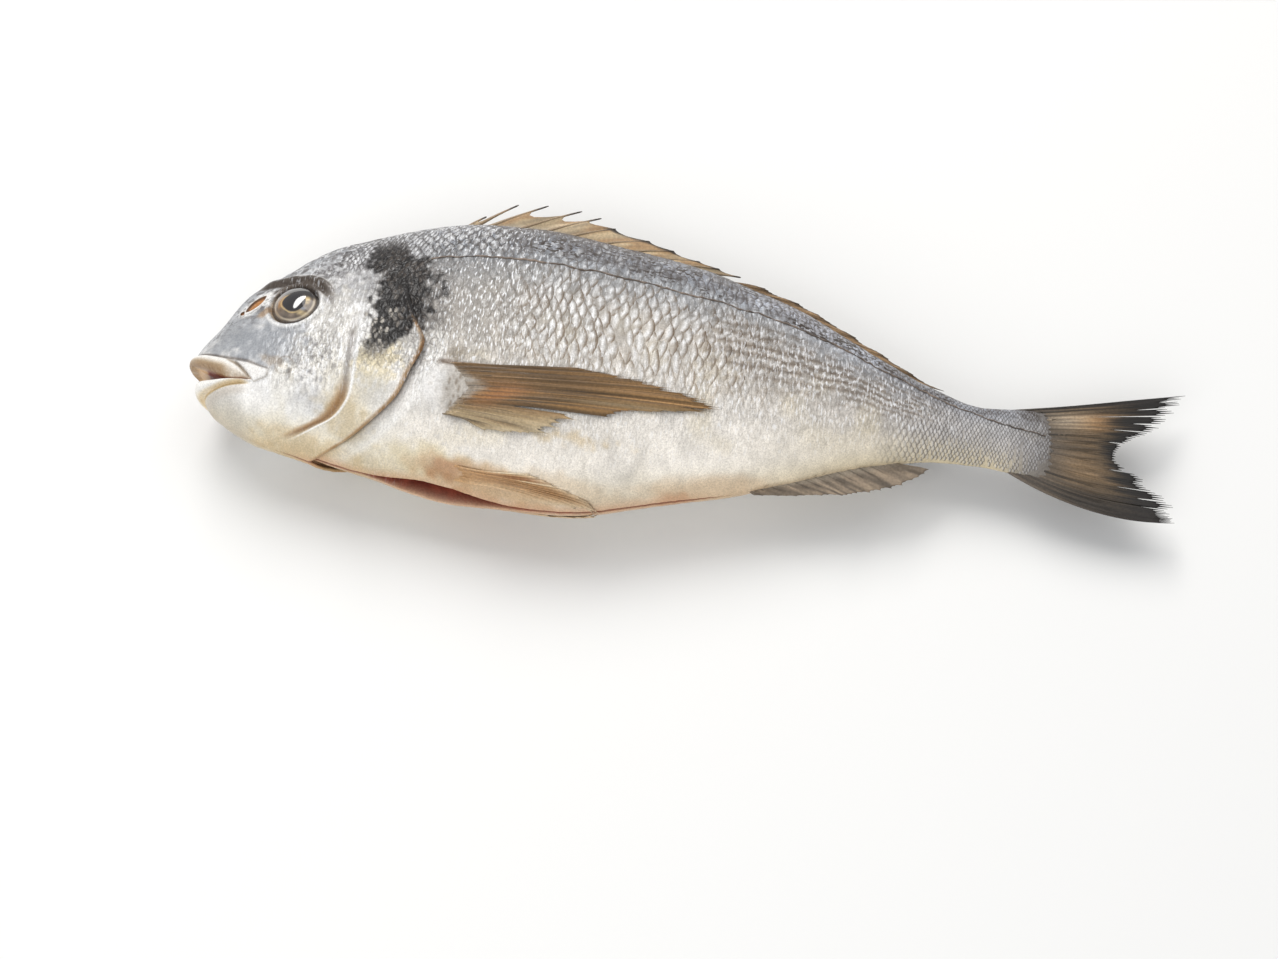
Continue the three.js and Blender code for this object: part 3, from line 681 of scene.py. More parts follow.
    def on_skin(self, fish: Fish, level: Array, turn: Array, points: Array) -> Array:
        """The colours of places on the skin.

        Args:
            fish: the form that the places lie on.
            level: the rings of the places.
            turn: the turns of the places.
            points: the places in the fish's measures.

        Returns:
            Display colours from 0 to 255, on the last axis.
        """
        along, side, wide_open = fish.place(level, turn)
        paint = self.around(side, along)
        broad = sway(points, 17, 1)
        fine = sway(points, 3.2, 2)
        upright = sway(points, (1.1, 4, 4), 4)
        paint = paint * (1 + 0.07 * broad + 0.10 * fine + 0.12 * upright * smooth(side, -25, 0))[..., None]
        warm = smooth(mottle(points, 9, 7), 0.5, 0.8) * bump(side + 25, 60)
        paint = tinted(paint, self.gold, 0.2 * warm)
        for patch in PATCHES:
            paint = patch.over(paint, points)
        return layered(paint, itertools.chain(
            self.on_head(fish, along, side, points, fine),
            self.on_edges(level, side, wide_open, fine),
            self.on_mouth(fish, along, points[..., 1]),
            self.on_belly(fish, along, side, points),
        ))

    def on_head(self, fish: Fish, along: Array, side: Array, points: Array, fine: Array) -> Layers:
        """Colours the crown, the brow, the eye's pit, the nostrils, the blotch and the small scales, with
        painted glints on the crown, the brow and the cheek, and painted shade under the brow, over the eye
        and in the cheek's wrinkles.
        """
        high = points[..., 1]
        crown = smooth(side, 22, 40) * window(along, 12, 22, 62, 80)
        dark = smooth(mottle(points, (2.4, 1.3, 1.3), 6), 0.5, 0.68)
        yield (104, 101, 102), 0.75 * crown * dark
        # Painted glints: white flecks on the wet crown.
        light = smooth(mottle(points, (2, 1.4, 1.4), 8), 0.62, 0.78)
        yield (236, 236, 236), 0.6 * crown * light
        above = high - fish.brow.one(along)
        ends = window(along, 17, 22, 42, 50)
        # A painted highlight runs along the brow's upper edge, and the dark band under it is painted shadow.
        yield (232, 231, 229), 0.6 * ends * bump(above - 2 + 2 * fine, 1.2)
        thick = 1 + 1.4 * smooth(along, 24, 40)
        shadow = fall(np.abs(above + 1 + 1.5 * fine) - thick, 0, 1.2)
        yield (70, 60, 52), 0.95 * ends * shadow
        off = fish.from_eye(along, high)
        under = fall(high - fish.eye[1] + 0.2 * (along - fish.eye[0]), 1, 6)
        yield (238, 236, 233), 0.9 * under * bump(off - 10.5, 1.2)
        run = along - fish.eye[0]
        ring = fall(off, 8.6, 9.6)
        yield (176, 142, 100), 0.9 * ring * smooth(-run, -1, 5)
        yield (226, 223, 219), 0.9 * bump(off - 8.7, 0.8) * smooth(run, 2, 6)
        # The dark ring is widened over its top by painted shade from the brow.
        upper = ring * smooth(high - fish.eye[1], 1, 4)
        yield (64, 56, 50), np.maximum(fall(off, 7.9, 8.5), upper)
        # Painted shade from the brow on the skin just above the eye.
        lid = fall(off + 1.5 * fine, 10.8, 12.6) * smooth(high - fish.eye[1], 4, 7)
        yield (70, 58, 48), 0.85 * lid
        corner = np.hypot((along - 25.2) / 3.4, (high - 13.6 - 0.55 * (along - 25.2)) / 2.3)
        yield (152, 118, 84), 0.65 * fall(corner + 0.4 * fine, 0.4, 1.1)
        deep, rim = fish.nose(along, high)
        yield (240, 238, 234), 0.7 * rim
        yield (92, 66, 46), smooth(deep, 0.4, 0.8)
        cheek, upright = fish.on_cheek(along, high, points)
        # The cheek's upright wrinkles: painted shade in their troughs and painted highlights on their crests.
        yield (130, 128, 130), 0.7 * cheek * smooth(-upright, 0.05, 0.3)
        yield (252, 252, 252), 0.6 * cheek * smooth(upright, 0.08, 0.3)
        ring = bump(np.hypot(along - 36, high + 7.9) - 2.9, 0.6) * smooth(mottle(points, 1.6, 14), 0.25, 0.6)
        yield (138, 126, 114), 0.6 * ring
        back, rim, luck = fish.small_scales(points)
        scaly = fish.scaly(along, high)
        yield (118, 112, 108), 0.4 * scaly * fall(rim, 0.04, 0.2)
        black = self.blotching(along, high, points)
        yield self.blotch, 0.95 * black
        eye_spot = scaly * smooth(rim, 0.12, 0.3) * smooth(back, -0.3, 0) * smooth(luck, 0.3, 0.5)
        lower = fall(high, 14, 26) * fall(along, 68, 74)
        yield (204, 196, 184), 0.85 * eye_spot * black * lower
        yield (88, 78, 70), 0.7 * eye_spot * black * (1 - lower)

    def on_edges(self, level: Array, side: Array, wide_open: Array, fine: Array) -> Layers:
        """Colours the groove behind the cheek with painted shade and the ridge behind it with a painted
        highlight, and the edge of the gill cover and the gap behind it, which is darkened with painted
        shadow.
        """
        shown = window(side, -72, -54, -2, 10)
        from_cheek = level - CHEEK_EDGE
        low = smooth(-side, 20, 38)
        # Painted shade in the groove in front of the ridge.
        yield (134, 128, 124), 0.7 * shown * bump(from_cheek + 0.9, 1.9)
        yield self.rust, 0.8 * low * shown * bump(from_cheek + 1.2, 3.2 + 1.5 * fine)
        # A painted highlight along the ridge.
        yield (246, 245, 243), 0.9 * shown * bump(from_cheek - 1.3, 1)
        behind = level - GILL_EDGE
        high_up = smooth(side, -6, 6)
        rim = bump(behind - 0.4, 1.7) * wide_open * fall(side, 4, 14)
        yield (150, 108, 62), 0.85 * rim * (1 + fine)
        # Painted shadow in the gap behind the gill cover, brown below and black above, and in the fold beside
        # it.
        gap = window(behind, 0.7, 1.5, 2.8, 4.4) * wide_open
        yield (88, 58, 36), gap * (1 - high_up)
        fold = bump(behind - 0.6, 1.9) * bump(side - 13, 17)
        yield (24, 20, 19), np.maximum(gap * high_up, smooth(fold, 0.05, 0.5))
        yield (240, 238, 234), 0.6 * wide_open * (1 - high_up) * bump(behind - 6.4, 2.6)

    def on_mouth(self, fish: Fish, along: Array, high: Array) -> Layers:
        """Colours the lips, the inside of the mouth and the plate at its corner, with painted shade under the
        upper lip, in its crease and groove, and below the lower lip.
        """
        off, share, behind, rise = fish.lip(along, high)
        corner = fall(along, fish.mouth_corner, fish.mouth_corner + 2)
        front = smooth(off, -0.4, 0.4) * fall(share, 0.94, 1.04) * corner
        yield (238, 234, 228), 0.95 * front
        # The tan of the upper lip's underside, darker towards the gape, is partly its own colour and partly
        # painted shade.
        brown = front * (1 - 0.7 * smooth(along, 13, 20))
        fine_lip = sway(on_plane(along, high), 0.7, 71)
        yield (170, 147, 118), 0.95 * brown * fall(share, 0.4, 0.8)
        yield (146, 116, 82), 0.8 * brown * fall(share, 0.1, 0.6) * (1 + fine_lip)
        plate = fish.plate(along, high)
        yield (150, 134, 114), 0.4 * bump(plate - 0.4, 0.38)
        yield (228, 225, 221), smooth(plate, 0.5, 0.9)
        # Painted shade in the crease above the lip and in the groove behind it.
        crease = bump(rise - 1.04, 0.12) * fall(along, 30, 33)
        yield (96, 84, 74), 0.6 * crease
        groove = bump(behind, 0.7) * smooth(off, -0.2, 0.5) * fall(rise, 0.9, 1)
        yield (132, 108, 80), 0.6 * groove
        thick = fish.lower_lip.one(along)
        corner = fall(along, fish.mouth_corner - 3, fish.mouth_corner + 2)
        yield (244, 241, 235), 0.95 * corner * bump(off + thick / 2, thick / 2 + 0.3)
        yield (204, 174, 122), 0.9 * corner * bump(off + thick + 0.5, 1.1)
        # Painted shade on the chin below the lower lip.
        yield (186, 176, 164), 0.6 * corner * bump(off + thick + 3, 2.4)
        inside = corner * fish.within_mouth(along, high)
        at = along + fish.notch(along, high)
        yield (204, 166, 120), inside
        yield (118, 46, 24), inside * smooth(at - 0.5 * off, 4.2, 6.4)

    def on_belly(self, fish: Fish, along: Array, side: Array, points: Array) -> Layers:
        """Colours the cut along the belly."""
        gape = fish.cut.one(along)
        below = fish.below(side)
        near = below * bump(points[..., 2], gape + 4.5) * smooth(gape, 0.1, 0.6)
        yield (196, 142, 104), 0.6 * near
        inside = below * fall(np.abs(points[..., 2]), gape * 0.75, gape + 0.35) * smooth(gape, 0.05, 0.3)
        meat = mottle(points, 2.6, 21)
        yield self.flesh, inside
        yield (168, 84, 62), 0.7 * inside * smooth(meat, 0.5, 0.8)


# ---- meshes
def grid_faces(rows: int, columns: int, closed: bool) -> list[tuple[int, int, int, int]]:
    """Quads over rows of points, where closed joins the last column to the first."""
    faces = []
    for row in range(rows - 1):
        for column in range(columns if closed else columns - 1):
            ahead = (column + 1) % columns
            a, b = row * columns + column, row * columns + ahead
            faces.append((a, a + columns, b + columns, b))
    return faces


def make_object(
    name: str,
    points: Array,
    faces: Sequence[Sequence[int]],
    material: Material | None = None,
    edges: Sequence[tuple[int, int]] = (),
) -> Object:
    """A linked, smooth object from points in metres."""
    mesh = bpy.data.meshes.new(name)
    mesh.from_pydata(points.reshape(-1, 3).tolist(), list(edges), list(faces))
    mesh.shade_smooth()
    if material:
        mesh.materials.append(material)
    made = bpy.data.objects.new(name, mesh)
    bpy.context.scene.collection.objects.link(made)
    return made


def set_tint(mesh: Mesh, colours: Array) -> None:
    """Stores display colours, one for each point of a mesh."""
    set_shares(mesh, "tint", linear(colours.reshape(-1, 3)))


def set_shares(mesh: Mesh, name: str, shares: Array) -> None:
    """Stores three numbers from 0 to 1 as a colour, for each point of a mesh."""
    flat = np.ones((len(mesh.vertices), 4), np.float32)
    flat[:, :3] = shares.reshape(-1, 3)
    layer = mesh.color_attributes.get(name) or mesh.color_attributes.new(name, "FLOAT_COLOR", "POINT")
    layer.data.foreach_set("color", flat.ravel())


def set_values(mesh: Mesh, name: str, values: Array) -> None:
    """Stores one number, or three, for each point of a mesh."""
    kind, key = ("FLOAT", "value") if values.ndim == 1 else ("FLOAT_VECTOR", "vector")
    layer = mesh.attributes.new(name, kind, "POINT")
    layer.data.foreach_set(key, values.astype(np.float32).ravel())


def get_vectors(mesh: Mesh, name: str) -> Array:
    """Reads three numbers for each point of a mesh."""
    flat = np.zeros(len(mesh.vertices) * 3, np.float32)
    mesh.attributes[name].data.foreach_get("vector", flat)
    return flat.reshape(-1, 3).astype(float)


def settle(piece: Object) -> None:
    """Makes a finished piece ride on the fish and stand for its solid."""
    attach(piece, BODY)
    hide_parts(NODE)
    log.info("%s: %d points, %d faces", piece.name, len(piece.data.vertices), len(piece.data.polygons))


def make_dish(
    name: str, points: Array, pole: Array, tints: Array, middle: Colour, flank: Flank, finish: Material
) -> Object:
    """A settled piece of rings round a pole.

    Args:
        name: the piece's name, without its flank.
        points: the rings from the pole out, as they lie on the left flank.
        pole: the point in the middle.
        tints: the display colours of the rings.
        middle: the display colour of the pole.
        flank: the flank that the piece is on.
        finish: its material.

    Returns:
        The piece.
    """
    rings, spokes = points.shape[:2]
    faces = grid_faces(rings, spokes, closed=True)
    faces += [(rings * spokes, k, (k + 1) % spokes) for k in range(spokes)]
    if flank is Flank.RIGHT:
        faces = [f[::-1] for f in faces]
    every = np.vstack([points.reshape(-1, 3), pole[None]]) * flank.flip
    made = make_object(flank.named(name), lay_down(every), faces, finish)
    set_tint(made.data, np.vstack([tints.reshape(-1, 3), middle]))
    settle(made)
    return made


# ---- node trees
class Net:
    """Adds nodes to a tree and joins their sockets."""

    def __init__(self, tree: Tree) -> None:
        """Works on an empty tree."""
        self.tree = tree

    def add(self, kind: str, inputs: Mapping[str | int, object] | None = None, **settings: object) -> Node:
        """A new node.

        Args:
            kind: the node's type.
            inputs: a value, or a socket to join, for each input by name or number.
            settings: the node's own properties.

        Returns:
            The node.
        """
        node = self.tree.nodes.new(kind)
        for key, value in settings.items():
            setattr(node, key, value)
        for key, value in (inputs or {}).items():
            if isinstance(value, Socket):
                self.tree.links.new(value, node.inputs[key])
            else:
                node.inputs[key].default_value = value
        return node

    def math(self, operation: str, *values: object) -> Socket:
        """The result of a sum on numbers or sockets."""
        return self.add("ShaderNodeMath", dict(enumerate(values)), operation=operation).outputs[0]

    def plus(self, *values: object) -> Socket:
        """The sum of two or more values."""
        return reduce(lambda a, b: self.math("ADD", a, b), values)

    def minus(self, a: object, b: object) -> Socket:
        """One value less another."""
        return self.math("SUBTRACT", a, b)

    def times(self, *values: object) -> Socket:
        """The product of two or more values."""
        return reduce(lambda a, b: self.math("MULTIPLY", a, b), values)

    def ratio(self, a: object, b: object) -> Socket:
        """One value divided by another."""
        return self.math("DIVIDE", a, b)

    def vector(self, x: object = 0.0, y: object = 0.0, z: object = 0.0) -> Socket:
        """A vector from numbers or sockets."""
        return self.add("ShaderNodeCombineXYZ", {0: x, 1: y, 2: z}).outputs[0]

    def parts(self, vector: Socket) -> Sequence[Socket]:
        """The three numbers of a vector."""
        return self.add("ShaderNodeSeparateXYZ", {0: vector}).outputs

    def stored(self, name: str) -> Socket:
        """The vector that each element carries under a name."""
        node = self.add("GeometryNodeInputNamedAttribute", {"Name": name}, data_type="FLOAT_VECTOR")
        return node.outputs[0]

    def store(self, geometry: Socket, name: str, value: Socket) -> Socket:
        """Geometry whose points carry a vector under a name."""
        return self.add("GeometryNodeStoreNamedAttribute", {
            "Geometry": geometry, "Name": name, "Value": value,
        }, data_type="FLOAT_VECTOR", domain="POINT").outputs[0]

    def noise(
        self,
        where: Socket,
        grain: float,
        detail: float = 1.0,
        drawn: Sequence[float] | None = None,
        moved: Sequence[float] = (0.0, 0.0, 0.0),
    ) -> Socket:
        """Noise with spots of a size in metres, on a place that may be scaled and moved first."""
        if drawn:
            where = self.mapped(where, drawn, moved)
        spots = {"Vector": where, "Scale": 1 / grain, "Detail": detail}
        return self.add("ShaderNodeTexNoise", spots).outputs[0]

    def mapped(
        self, where: Socket, drawn: Sequence[float], moved: Sequence[float] = (0.0, 0.0, 0.0)
    ) -> Socket:
        """A place that is scaled, and then moved."""
        node = self.add("ShaderNodeMapping", {"Vector": where, "Scale": drawn, "Location": moved})
        return node.outputs[0]

    def between(self, value: Socket, low: float, high: float, first: float, last: float) -> Socket:
        """A value from low to high, turned into one from first to last and held there."""
        return self.add("ShaderNodeMapRange", {0: value, 1: low, 2: high, 3: first, 4: last}).outputs[0]

    def scaled(self, colour: Socket, factor: Socket) -> Socket:
        """A colour made lighter or darker by a factor."""
        return self.add("ShaderNodeVectorMath", {0: colour, "Scale": factor}, operation="SCALE").outputs[0]

    def mixed(self, share: Socket, colour: Socket, over: Colour) -> Socket:
        """A colour with a display colour laid over it."""
        node = self.add("ShaderNodeMix", data_type="RGBA")
        sockets = [s for s in node.inputs if s.enabled]
        self.tree.links.new(share, sockets[0])
        self.tree.links.new(colour, sockets[1])
        sockets[2].default_value = (*linear(np.array(over)), 1.0)
        return next(s for s in node.outputs if s.enabled)

    def random(self, low: float, high: float, seed: int) -> Socket:
        """A random number for each element, always the same one."""
        node = self.add("FunctionNodeRandomValue", data_type="FLOAT")
        for socket, value in zip([s for s in node.inputs if s.enabled], (low, high)):
            socket.default_value = value
        node.inputs["Seed"].default_value = seed
        return next(s for s in node.outputs if s.enabled)


def geometry_tree(name: str, numbers: Mapping[str, float | int]) -> tuple[Net, Node]:
    """A geometry tree with named inputs: Geometry, Finish, and one for each number.

    Args:
        name: the tree's name.
        numbers: the default of each further input, whole numbers for counts.

    Returns:
        The tree's net, and its input node.
    """
    tree = bpy.data.node_groups.new(name, "GeometryNodeTree")
    tree.interface.new_socket("Geometry", in_out="INPUT", socket_type="NodeSocketGeometry")
    tree.interface.new_socket("Geometry", in_out="OUTPUT", socket_type="NodeSocketGeometry")
    tree.interface.new_socket("Finish", in_out="INPUT", socket_type="NodeSocketMaterial")
    for key, value in numbers.items():
        kind = "NodeSocketInt" if isinstance(value, int) else "NodeSocketFloat"
        tree.interface.new_socket(key, in_out="INPUT", socket_type=kind).default_value = value
    net = Net(tree)
    return net, net.add("NodeGroupInput")


def end_tree(net: Net, inputs: Node, geometry: Socket) -> Tree:
    """Ends a geometry tree in real, smooth faces with the finish on them."""
    real = net.add("GeometryNodeRealizeInstances", {"Geometry": geometry})
    even = net.add("GeometryNodeSetShadeSmooth", {"Geometry": real.outputs[0]})
    dressed = net.add("GeometryNodeSetMaterial", {
        "Geometry": even.outputs[0], "Material": inputs.outputs["Finish"],
    })
    net.add("NodeGroupOutput", {0: dressed.outputs[0]})
    return net.tree


def grow(base: Object, tree: Tree, finish: Material, numbers: Mapping[str, float | int]) -> Object:
    """Runs a geometry tree on an object and keeps the result as a plain mesh in its place.

    Args:
        base: the object that the tree works on.
        tree: the tree.
        finish: the material of the result.
        numbers: the values of the tree's named inputs.

    Returns:
        The object, with the new mesh and no modifier.
    """
    modifier = base.modifiers.new(tree.name, "NODES")
    modifier.node_group = tree
    sockets = {item.name: item.identifier for item in tree.interface.items_tree if item.in_out == "INPUT"}
    modifier[sockets["Finish"]] = finish
    for key, value in numbers.items():
        modifier[sockets[key]] = value
    graph = bpy.context.evaluated_depsgraph_get()
    graph.update()
    mesh = bpy.data.meshes.new_from_object(
        base.evaluated_get(graph), preserve_all_data_layers=True, depsgraph=graph
    )
    base.modifiers.remove(modifier)
    base.data = mesh
    if not mesh.materials:
        mesh.materials.append(finish)
    return base


def scale_tree() -> Tree:
    """Shingles a sheet with scales.

    The sheet has a map named lay, in which a column is 1 / Columns wide and a row 1 / Rows, and it carries
    the vectors guide (shown, lift, pitch), out (its normal) and place (ring, turn, nothing).

    Returns:
        The tree. On its result, place holds where each scale sits and a random number of its own, spot where
        each of its points lies, and edge how near a point is to the scale's rim.
    """
    numbers = {"Columns": 80, "Rows": 40, "Jitter": 0.07, "Lift": 0.04, "Front": 0.5, "Rear": SCALE_REAR}
    net, inputs = geometry_tree("scales", numbers)
    get, index = inputs.outputs, net.add("GeometryNodeInputIndex").outputs[0]
    columns, rows, lift = get["Columns"], get["Rows"], get["Lift"]
    row = net.math("FLOOR", net.ratio(index, columns))
    column = net.minus(index, net.times(row, columns))
    stagger = net.times(net.math("MODULO", row, 2.0), 0.5)

    def jitter(salt: int) -> Socket:
        """A small random step, other for each salt."""
        return net.times(net.random(-1.0, 1.0, salt), get["Jitter"])

    u = net.ratio(net.plus(column, stagger, jitter(11)), columns)
    v = net.ratio(net.plus(row, jitter(12)), rows)
    count = net.times(columns, rows)
    seats = net.add("GeometryNodePoints", {"Count": count, "Position": net.vector(u, v)}).outputs[0]
    here = net.add("GeometryNodeInputPosition").outputs[0]

    def read(name: str | None) -> Node:
        """Samples a vector of the sheet, or its position, at the place on the map that a point has."""
        flat = net.add("ShaderNodeVectorMath", {0: here, 1: (1.0, 1.0, 0.0)}, operation="MULTIPLY").outputs[0]
        return net.add("GeometryNodeSampleUVSurface", {
            "Mesh": get["Geometry"],
            "Value": net.stored(name) if name else here,
            "UV Map": net.stored("lay"),
            "Sample UV": flat,
        }, data_type="FLOAT_VECTOR")

    guide = read("guide")
    limit = net.random(0.3, 0.7, 13)
    chosen = net.add("FunctionNodeCompare", {
        "A": net.parts(guide.outputs[0])[0], "B": limit,
    }, data_type="FLOAT", operation="GREATER_THAN")
    valid = net.add("FunctionNodeBooleanMath", {0: chosen.outputs[0], 1: guide.outputs["Is Valid"]})
    luck = net.random(0.0, 1.0, 14)
    level, turn, _ = net.parts(read("place").outputs[0])
    told = net.store(seats, "place", net.vector(level, turn, luck))
    # One scale, in units of the pitch: its front is sunk under its neighbours and its rear edge stands proud.
    flat = net.add("GeometryNodeMeshGrid", {"Size X": 1.0, "Size Y": 2.0, "Vertices X": 5, "Vertices Y": 7})
    run, across, _ = net.parts(here)
    t = net.plus(run, 0.5)
    reach = net.math("MINIMUM", net.ratio(t, 0.75), 1.0)
    rim = net.math("MAXIMUM", net.minus(t, 0.75), 0.0)
    bow = net.math("POWER", net.math("ABSOLUTE", across), 2.1)
    rear = net.times(get["Rear"], net.minus(1.0, net.times(bow, SCALE_BOW)))
    span = net.plus(rear, get["Front"])
    x = net.minus(net.times(span, reach), get["Front"])
    rise = net.times(net.plus(x, get["Front"]), lift)
    dome = net.times(bow, net.times(lift, -0.25))
    fall_off = net.times(rim, 4.0, net.times(lift, -0.9))
    z = net.plus(rise, dome, fall_off)
    shaped = net.add("GeometryNodeSetPosition", {
        "Geometry": flat.outputs[0],
        "Position": net.vector(net.plus(x, net.times(rim, 0.44)), across, z),
    })
    size = net.vector(net.ratio(1.0, columns), net.ratio(1.0, rows), 1.0)
    laid = net.add("GeometryNodeInstanceOnPoints", {
        "Points": told,
        "Selection": valid.outputs[0],
        "Instance": net.store(shaped.outputs[0], "edge", net.vector(reach, rim, across)),
        "Scale": net.scaled(size, net.random(0.88, 1.12, 15)),
    })
    real = net.add("GeometryNodeRealizeInstances", {"Geometry": laid.outputs[0]}).outputs[0]
    # Each scale is now drawn from the map onto the sheet, tilted and rolled by its own luck.
    real = net.store(real, "spot", read("place").outputs[0])
    _, local_lift, pitch = net.parts(read("guide").outputs[0])
    height, chance, aside = (net.parts(v)[2] for v in (here, net.stored("place"), net.stored("edge")))
    slant = net.minus(net.math("FRACT", net.times(chance, 7.13)), 0.5)
    rolled = net.times(slant, aside, net.times(lift, 0.8))
    uneven = net.times(height, net.plus(net.times(chance, 0.5), 0.75))
    raised = net.times(net.plus(uneven, rolled), local_lift, pitch)
    off = net.scaled(read("out").outputs[0], raised)
    ends = net.add("ShaderNodeVectorMath", {0: read(None).outputs[0], 1: off}, operation="ADD")
    placed = net.add("GeometryNodeSetPosition", {"Geometry": real, "Position": ends.outputs[0]})
    return end_tree(net, inputs, placed.outputs[0])


def ray_tree() -> Tree:
    """Turns chains of edges into tapering rays, whose radius is the number girth of their points."""
    net, inputs = geometry_tree("rays", {"Sides": 6})
    line = net.add("GeometryNodeMeshToCurve", {"Mesh": inputs.outputs["Geometry"]})
    ring = net.add("GeometryNodeCurvePrimitiveCircle", {"Resolution": inputs.outputs["Sides"], "Radius": 1.0})
    girth = net.add("GeometryNodeInputNamedAttribute", {"Name": "girth"}, data_type="FLOAT")
    tube = net.add("GeometryNodeCurveToMesh", {
        "Curve": line.outputs[0],
        "Profile Curve": ring.outputs[0],
        "Scale": girth.outputs[0],
        "Fill Caps": True,
    })
    return end_tree(net, inputs, tube.outputs[0])


# ---- finishes
@dataclass(frozen=True)
class Finish:
    """A wet finish that takes its colours and its traits from the points of a mesh."""

    name: str
    rough: tuple[float, float] = (0.24, 0.44)
    coat: float = 0.55
    coat_rough: float = 0.1
    coat_ior: float = 1.5
    grain: float = 0.0006
    bump: float = 0.3
    depth: float = 0.00012
    shade: float = 0.16
    metallic: float = 0.0
    ior: float = 1.5
    silvered: bool = False
    fleck: Colour = (62, 52, 45)

    def material(self) -> Material:
        """Builds the material."""
        made = bpy.data.materials.new(self.name)
        made.use_nodes = True
        made.node_tree.nodes.clear()
        net = Net(made.node_tree)
        where = net.add("ShaderNodeTexCoord").outputs["Object"]
        tint = net.add("ShaderNodeAttribute", attribute_name="tint").outputs["Color"]
        fine = net.noise(where, self.grain, detail=3.0)
        broad = net.noise(where, self.grain * 8)
        colour = net.scaled(tint, net.between(fine, 0.3, 0.7, 1 - self.shade, 1 + self.shade))
        height = net.plus(net.times(fine, 0.6), broad)
        rough = net.between(broad, 0.35, 0.65, *self.rough)
        if self.silvered:
            colour, height, rough = self.silver(net, where, colour, height, rough)
        dents = net.add("ShaderNodeBump", {"Height": height, "Strength": self.bump, "Distance": self.depth})
        surface = net.add("ShaderNodeBsdfPrincipled", {
            "Base Color": colour,
            "Metallic": self.metallic,
            "Roughness": rough,
            "IOR": self.ior,
            "Coat Weight": self.coat,
            "Coat Roughness": self.coat_rough,
            "Coat IOR": self.coat_ior,
            "Normal": dents.outputs[0],
            "Coat Normal": dents.outputs[0],
        })
        net.add("ShaderNodeOutputMaterial", {"Surface": surface.outputs[0]})
        return made

    def silver(
        self, net: Net, where: Socket, colour: Socket, height: Socket, rough: Socket
    ) -> tuple[Socket, Socket, Socket]:
        """Adds streaks with painted glints on their crests, creases darkened with painted shade, flecks, and
        the gaps between small scales, by the traits of the skin.

        Returns:
            The colour, the height and the roughness.
        """
        traits = net.add("ShaderNodeAttribute", attribute_name="traits").outputs["Color"]
        streaks_with_painted_light, flecked, scaly = net.add("ShaderNodeSeparateColor", {0: traits}).outputs
        streak = net.noise(where, 0.00062, 3.0, drawn=(1.0, 0.24, 0.24))
        fleck = net.noise(where, 0.0011, 4.0, drawn=(0.55, 0.85, 0.85), moved=(0.31, 0.17, 0.0))
        bend = net.noise(where, 0.0012, 2.0, drawn=(1.0, 0.4, 0.4), moved=(0.12, 0.41, 0.0))
        crease = net.math("ABSOLUTE", net.minus(bend, 0.5))
        cell = net.add("ShaderNodeTexVoronoi", {
            "Vector": net.mapped(where, (1.0, 0.8, 0.8)), "Scale": 1 / 0.002, "Randomness": 0.85,
        }, feature="DISTANCE_TO_EDGE").outputs["Distance"]
        wave = net.times(net.between(streak, 0.3, 0.7, -0.3, 0.3), streaks_with_painted_light)
        colour = net.scaled(colour, net.plus(wave, 1.0))
        # Painted shade darkens the creases and painted glints whiten the crests of the streaks; the flecks
        # and the dark gaps between small scales are the skin's own.
        for pattern, span, trait, over in (
            (crease, (0.0, 0.07, 0.6, 0.0), streaks_with_painted_light, (108, 100, 92)),
            (streak, (0.56, 0.66, 0.0, 0.85), streaks_with_painted_light, (240, 241, 244)),
            (fleck, (0.51, 0.57, 0.0, 1.0), flecked, self.fleck),
            (cell, (0.02, 0.15, 0.8, 0.0), scaly, (30, 27, 26)),
        ):
            colour = net.mixed(net.times(net.between(pattern, *span), trait), colour, over)
        raised = net.times(streak, streaks_with_painted_light, 1.6)
        domed = net.times(net.between(cell, 0.0, 0.25, 0.0, 1.2), scaly)
        dulled = net.math("MULTIPLY_ADD", scaly, 0.34, rough)
        return colour, net.plus(height, raised, domed), dulled


SKIN = Finish(
    "wet_skin", silvered=True, rough=(0.4, 0.56), coat=0.3, coat_rough=0.16, bump=0.6, depth=0.0002,
    metallic=0.06, ior=1.36,
)
SCALE = Finish(
    "wet_scales", silvered=True, rough=(0.42, 0.56), coat=0.36, coat_rough=0.12, bump=0.55, depth=0.00016,
    grain=0.00045, shade=0.18, metallic=0.08, ior=1.36,
)
WEB = Finish("fin_web", rough=(0.45, 0.6), coat=0.12, grain=0.0008, shade=0.2, ior=1.37)
RAY = Finish("fin_rays", rough=(0.4, 0.55), coat=0.15, grain=0.0006, bump=0.2, shade=0.2, ior=1.4)
EYE = Finish(
    "wet_eye", rough=(0.06, 0.12), coat=1.0, coat_rough=0.03, coat_ior=1.7, grain=0.0004, bump=0.03,
    shade=0.1,
)


@dataclass(frozen=True)
class FloorFinish:
    """A plain pale floor."""

    colour: Colour = (238, 237, 235)

    def material(self) -> Material:
        """Builds the material."""
        made = bpy.data.materials.new("pale_floor")
        made.use_nodes = True
        net = Net(made.node_tree)
        made.node_tree.nodes.clear()
        surface = net.add("ShaderNodeBsdfPrincipled", {
            "Base Color": (*linear(np.array(self.colour)), 1.0), "Roughness": 0.6,
        })
        net.add("ShaderNodeOutputMaterial", {"Surface": surface.outputs[0]})
        return made


# ---- the skin
def spread(weight: Callable[[Array], Array], count: int) -> Array:
    """Turns round the body, closer together where the weight is larger."""
    fine = np.linspace(-180, 180, 3601)
    total = np.concatenate([[0.0], np.cumsum(weight((fine[:-1] + fine[1:]) / 2))])
    return np.interp(np.linspace(0, total[-1], count, endpoint=False), total, fine)


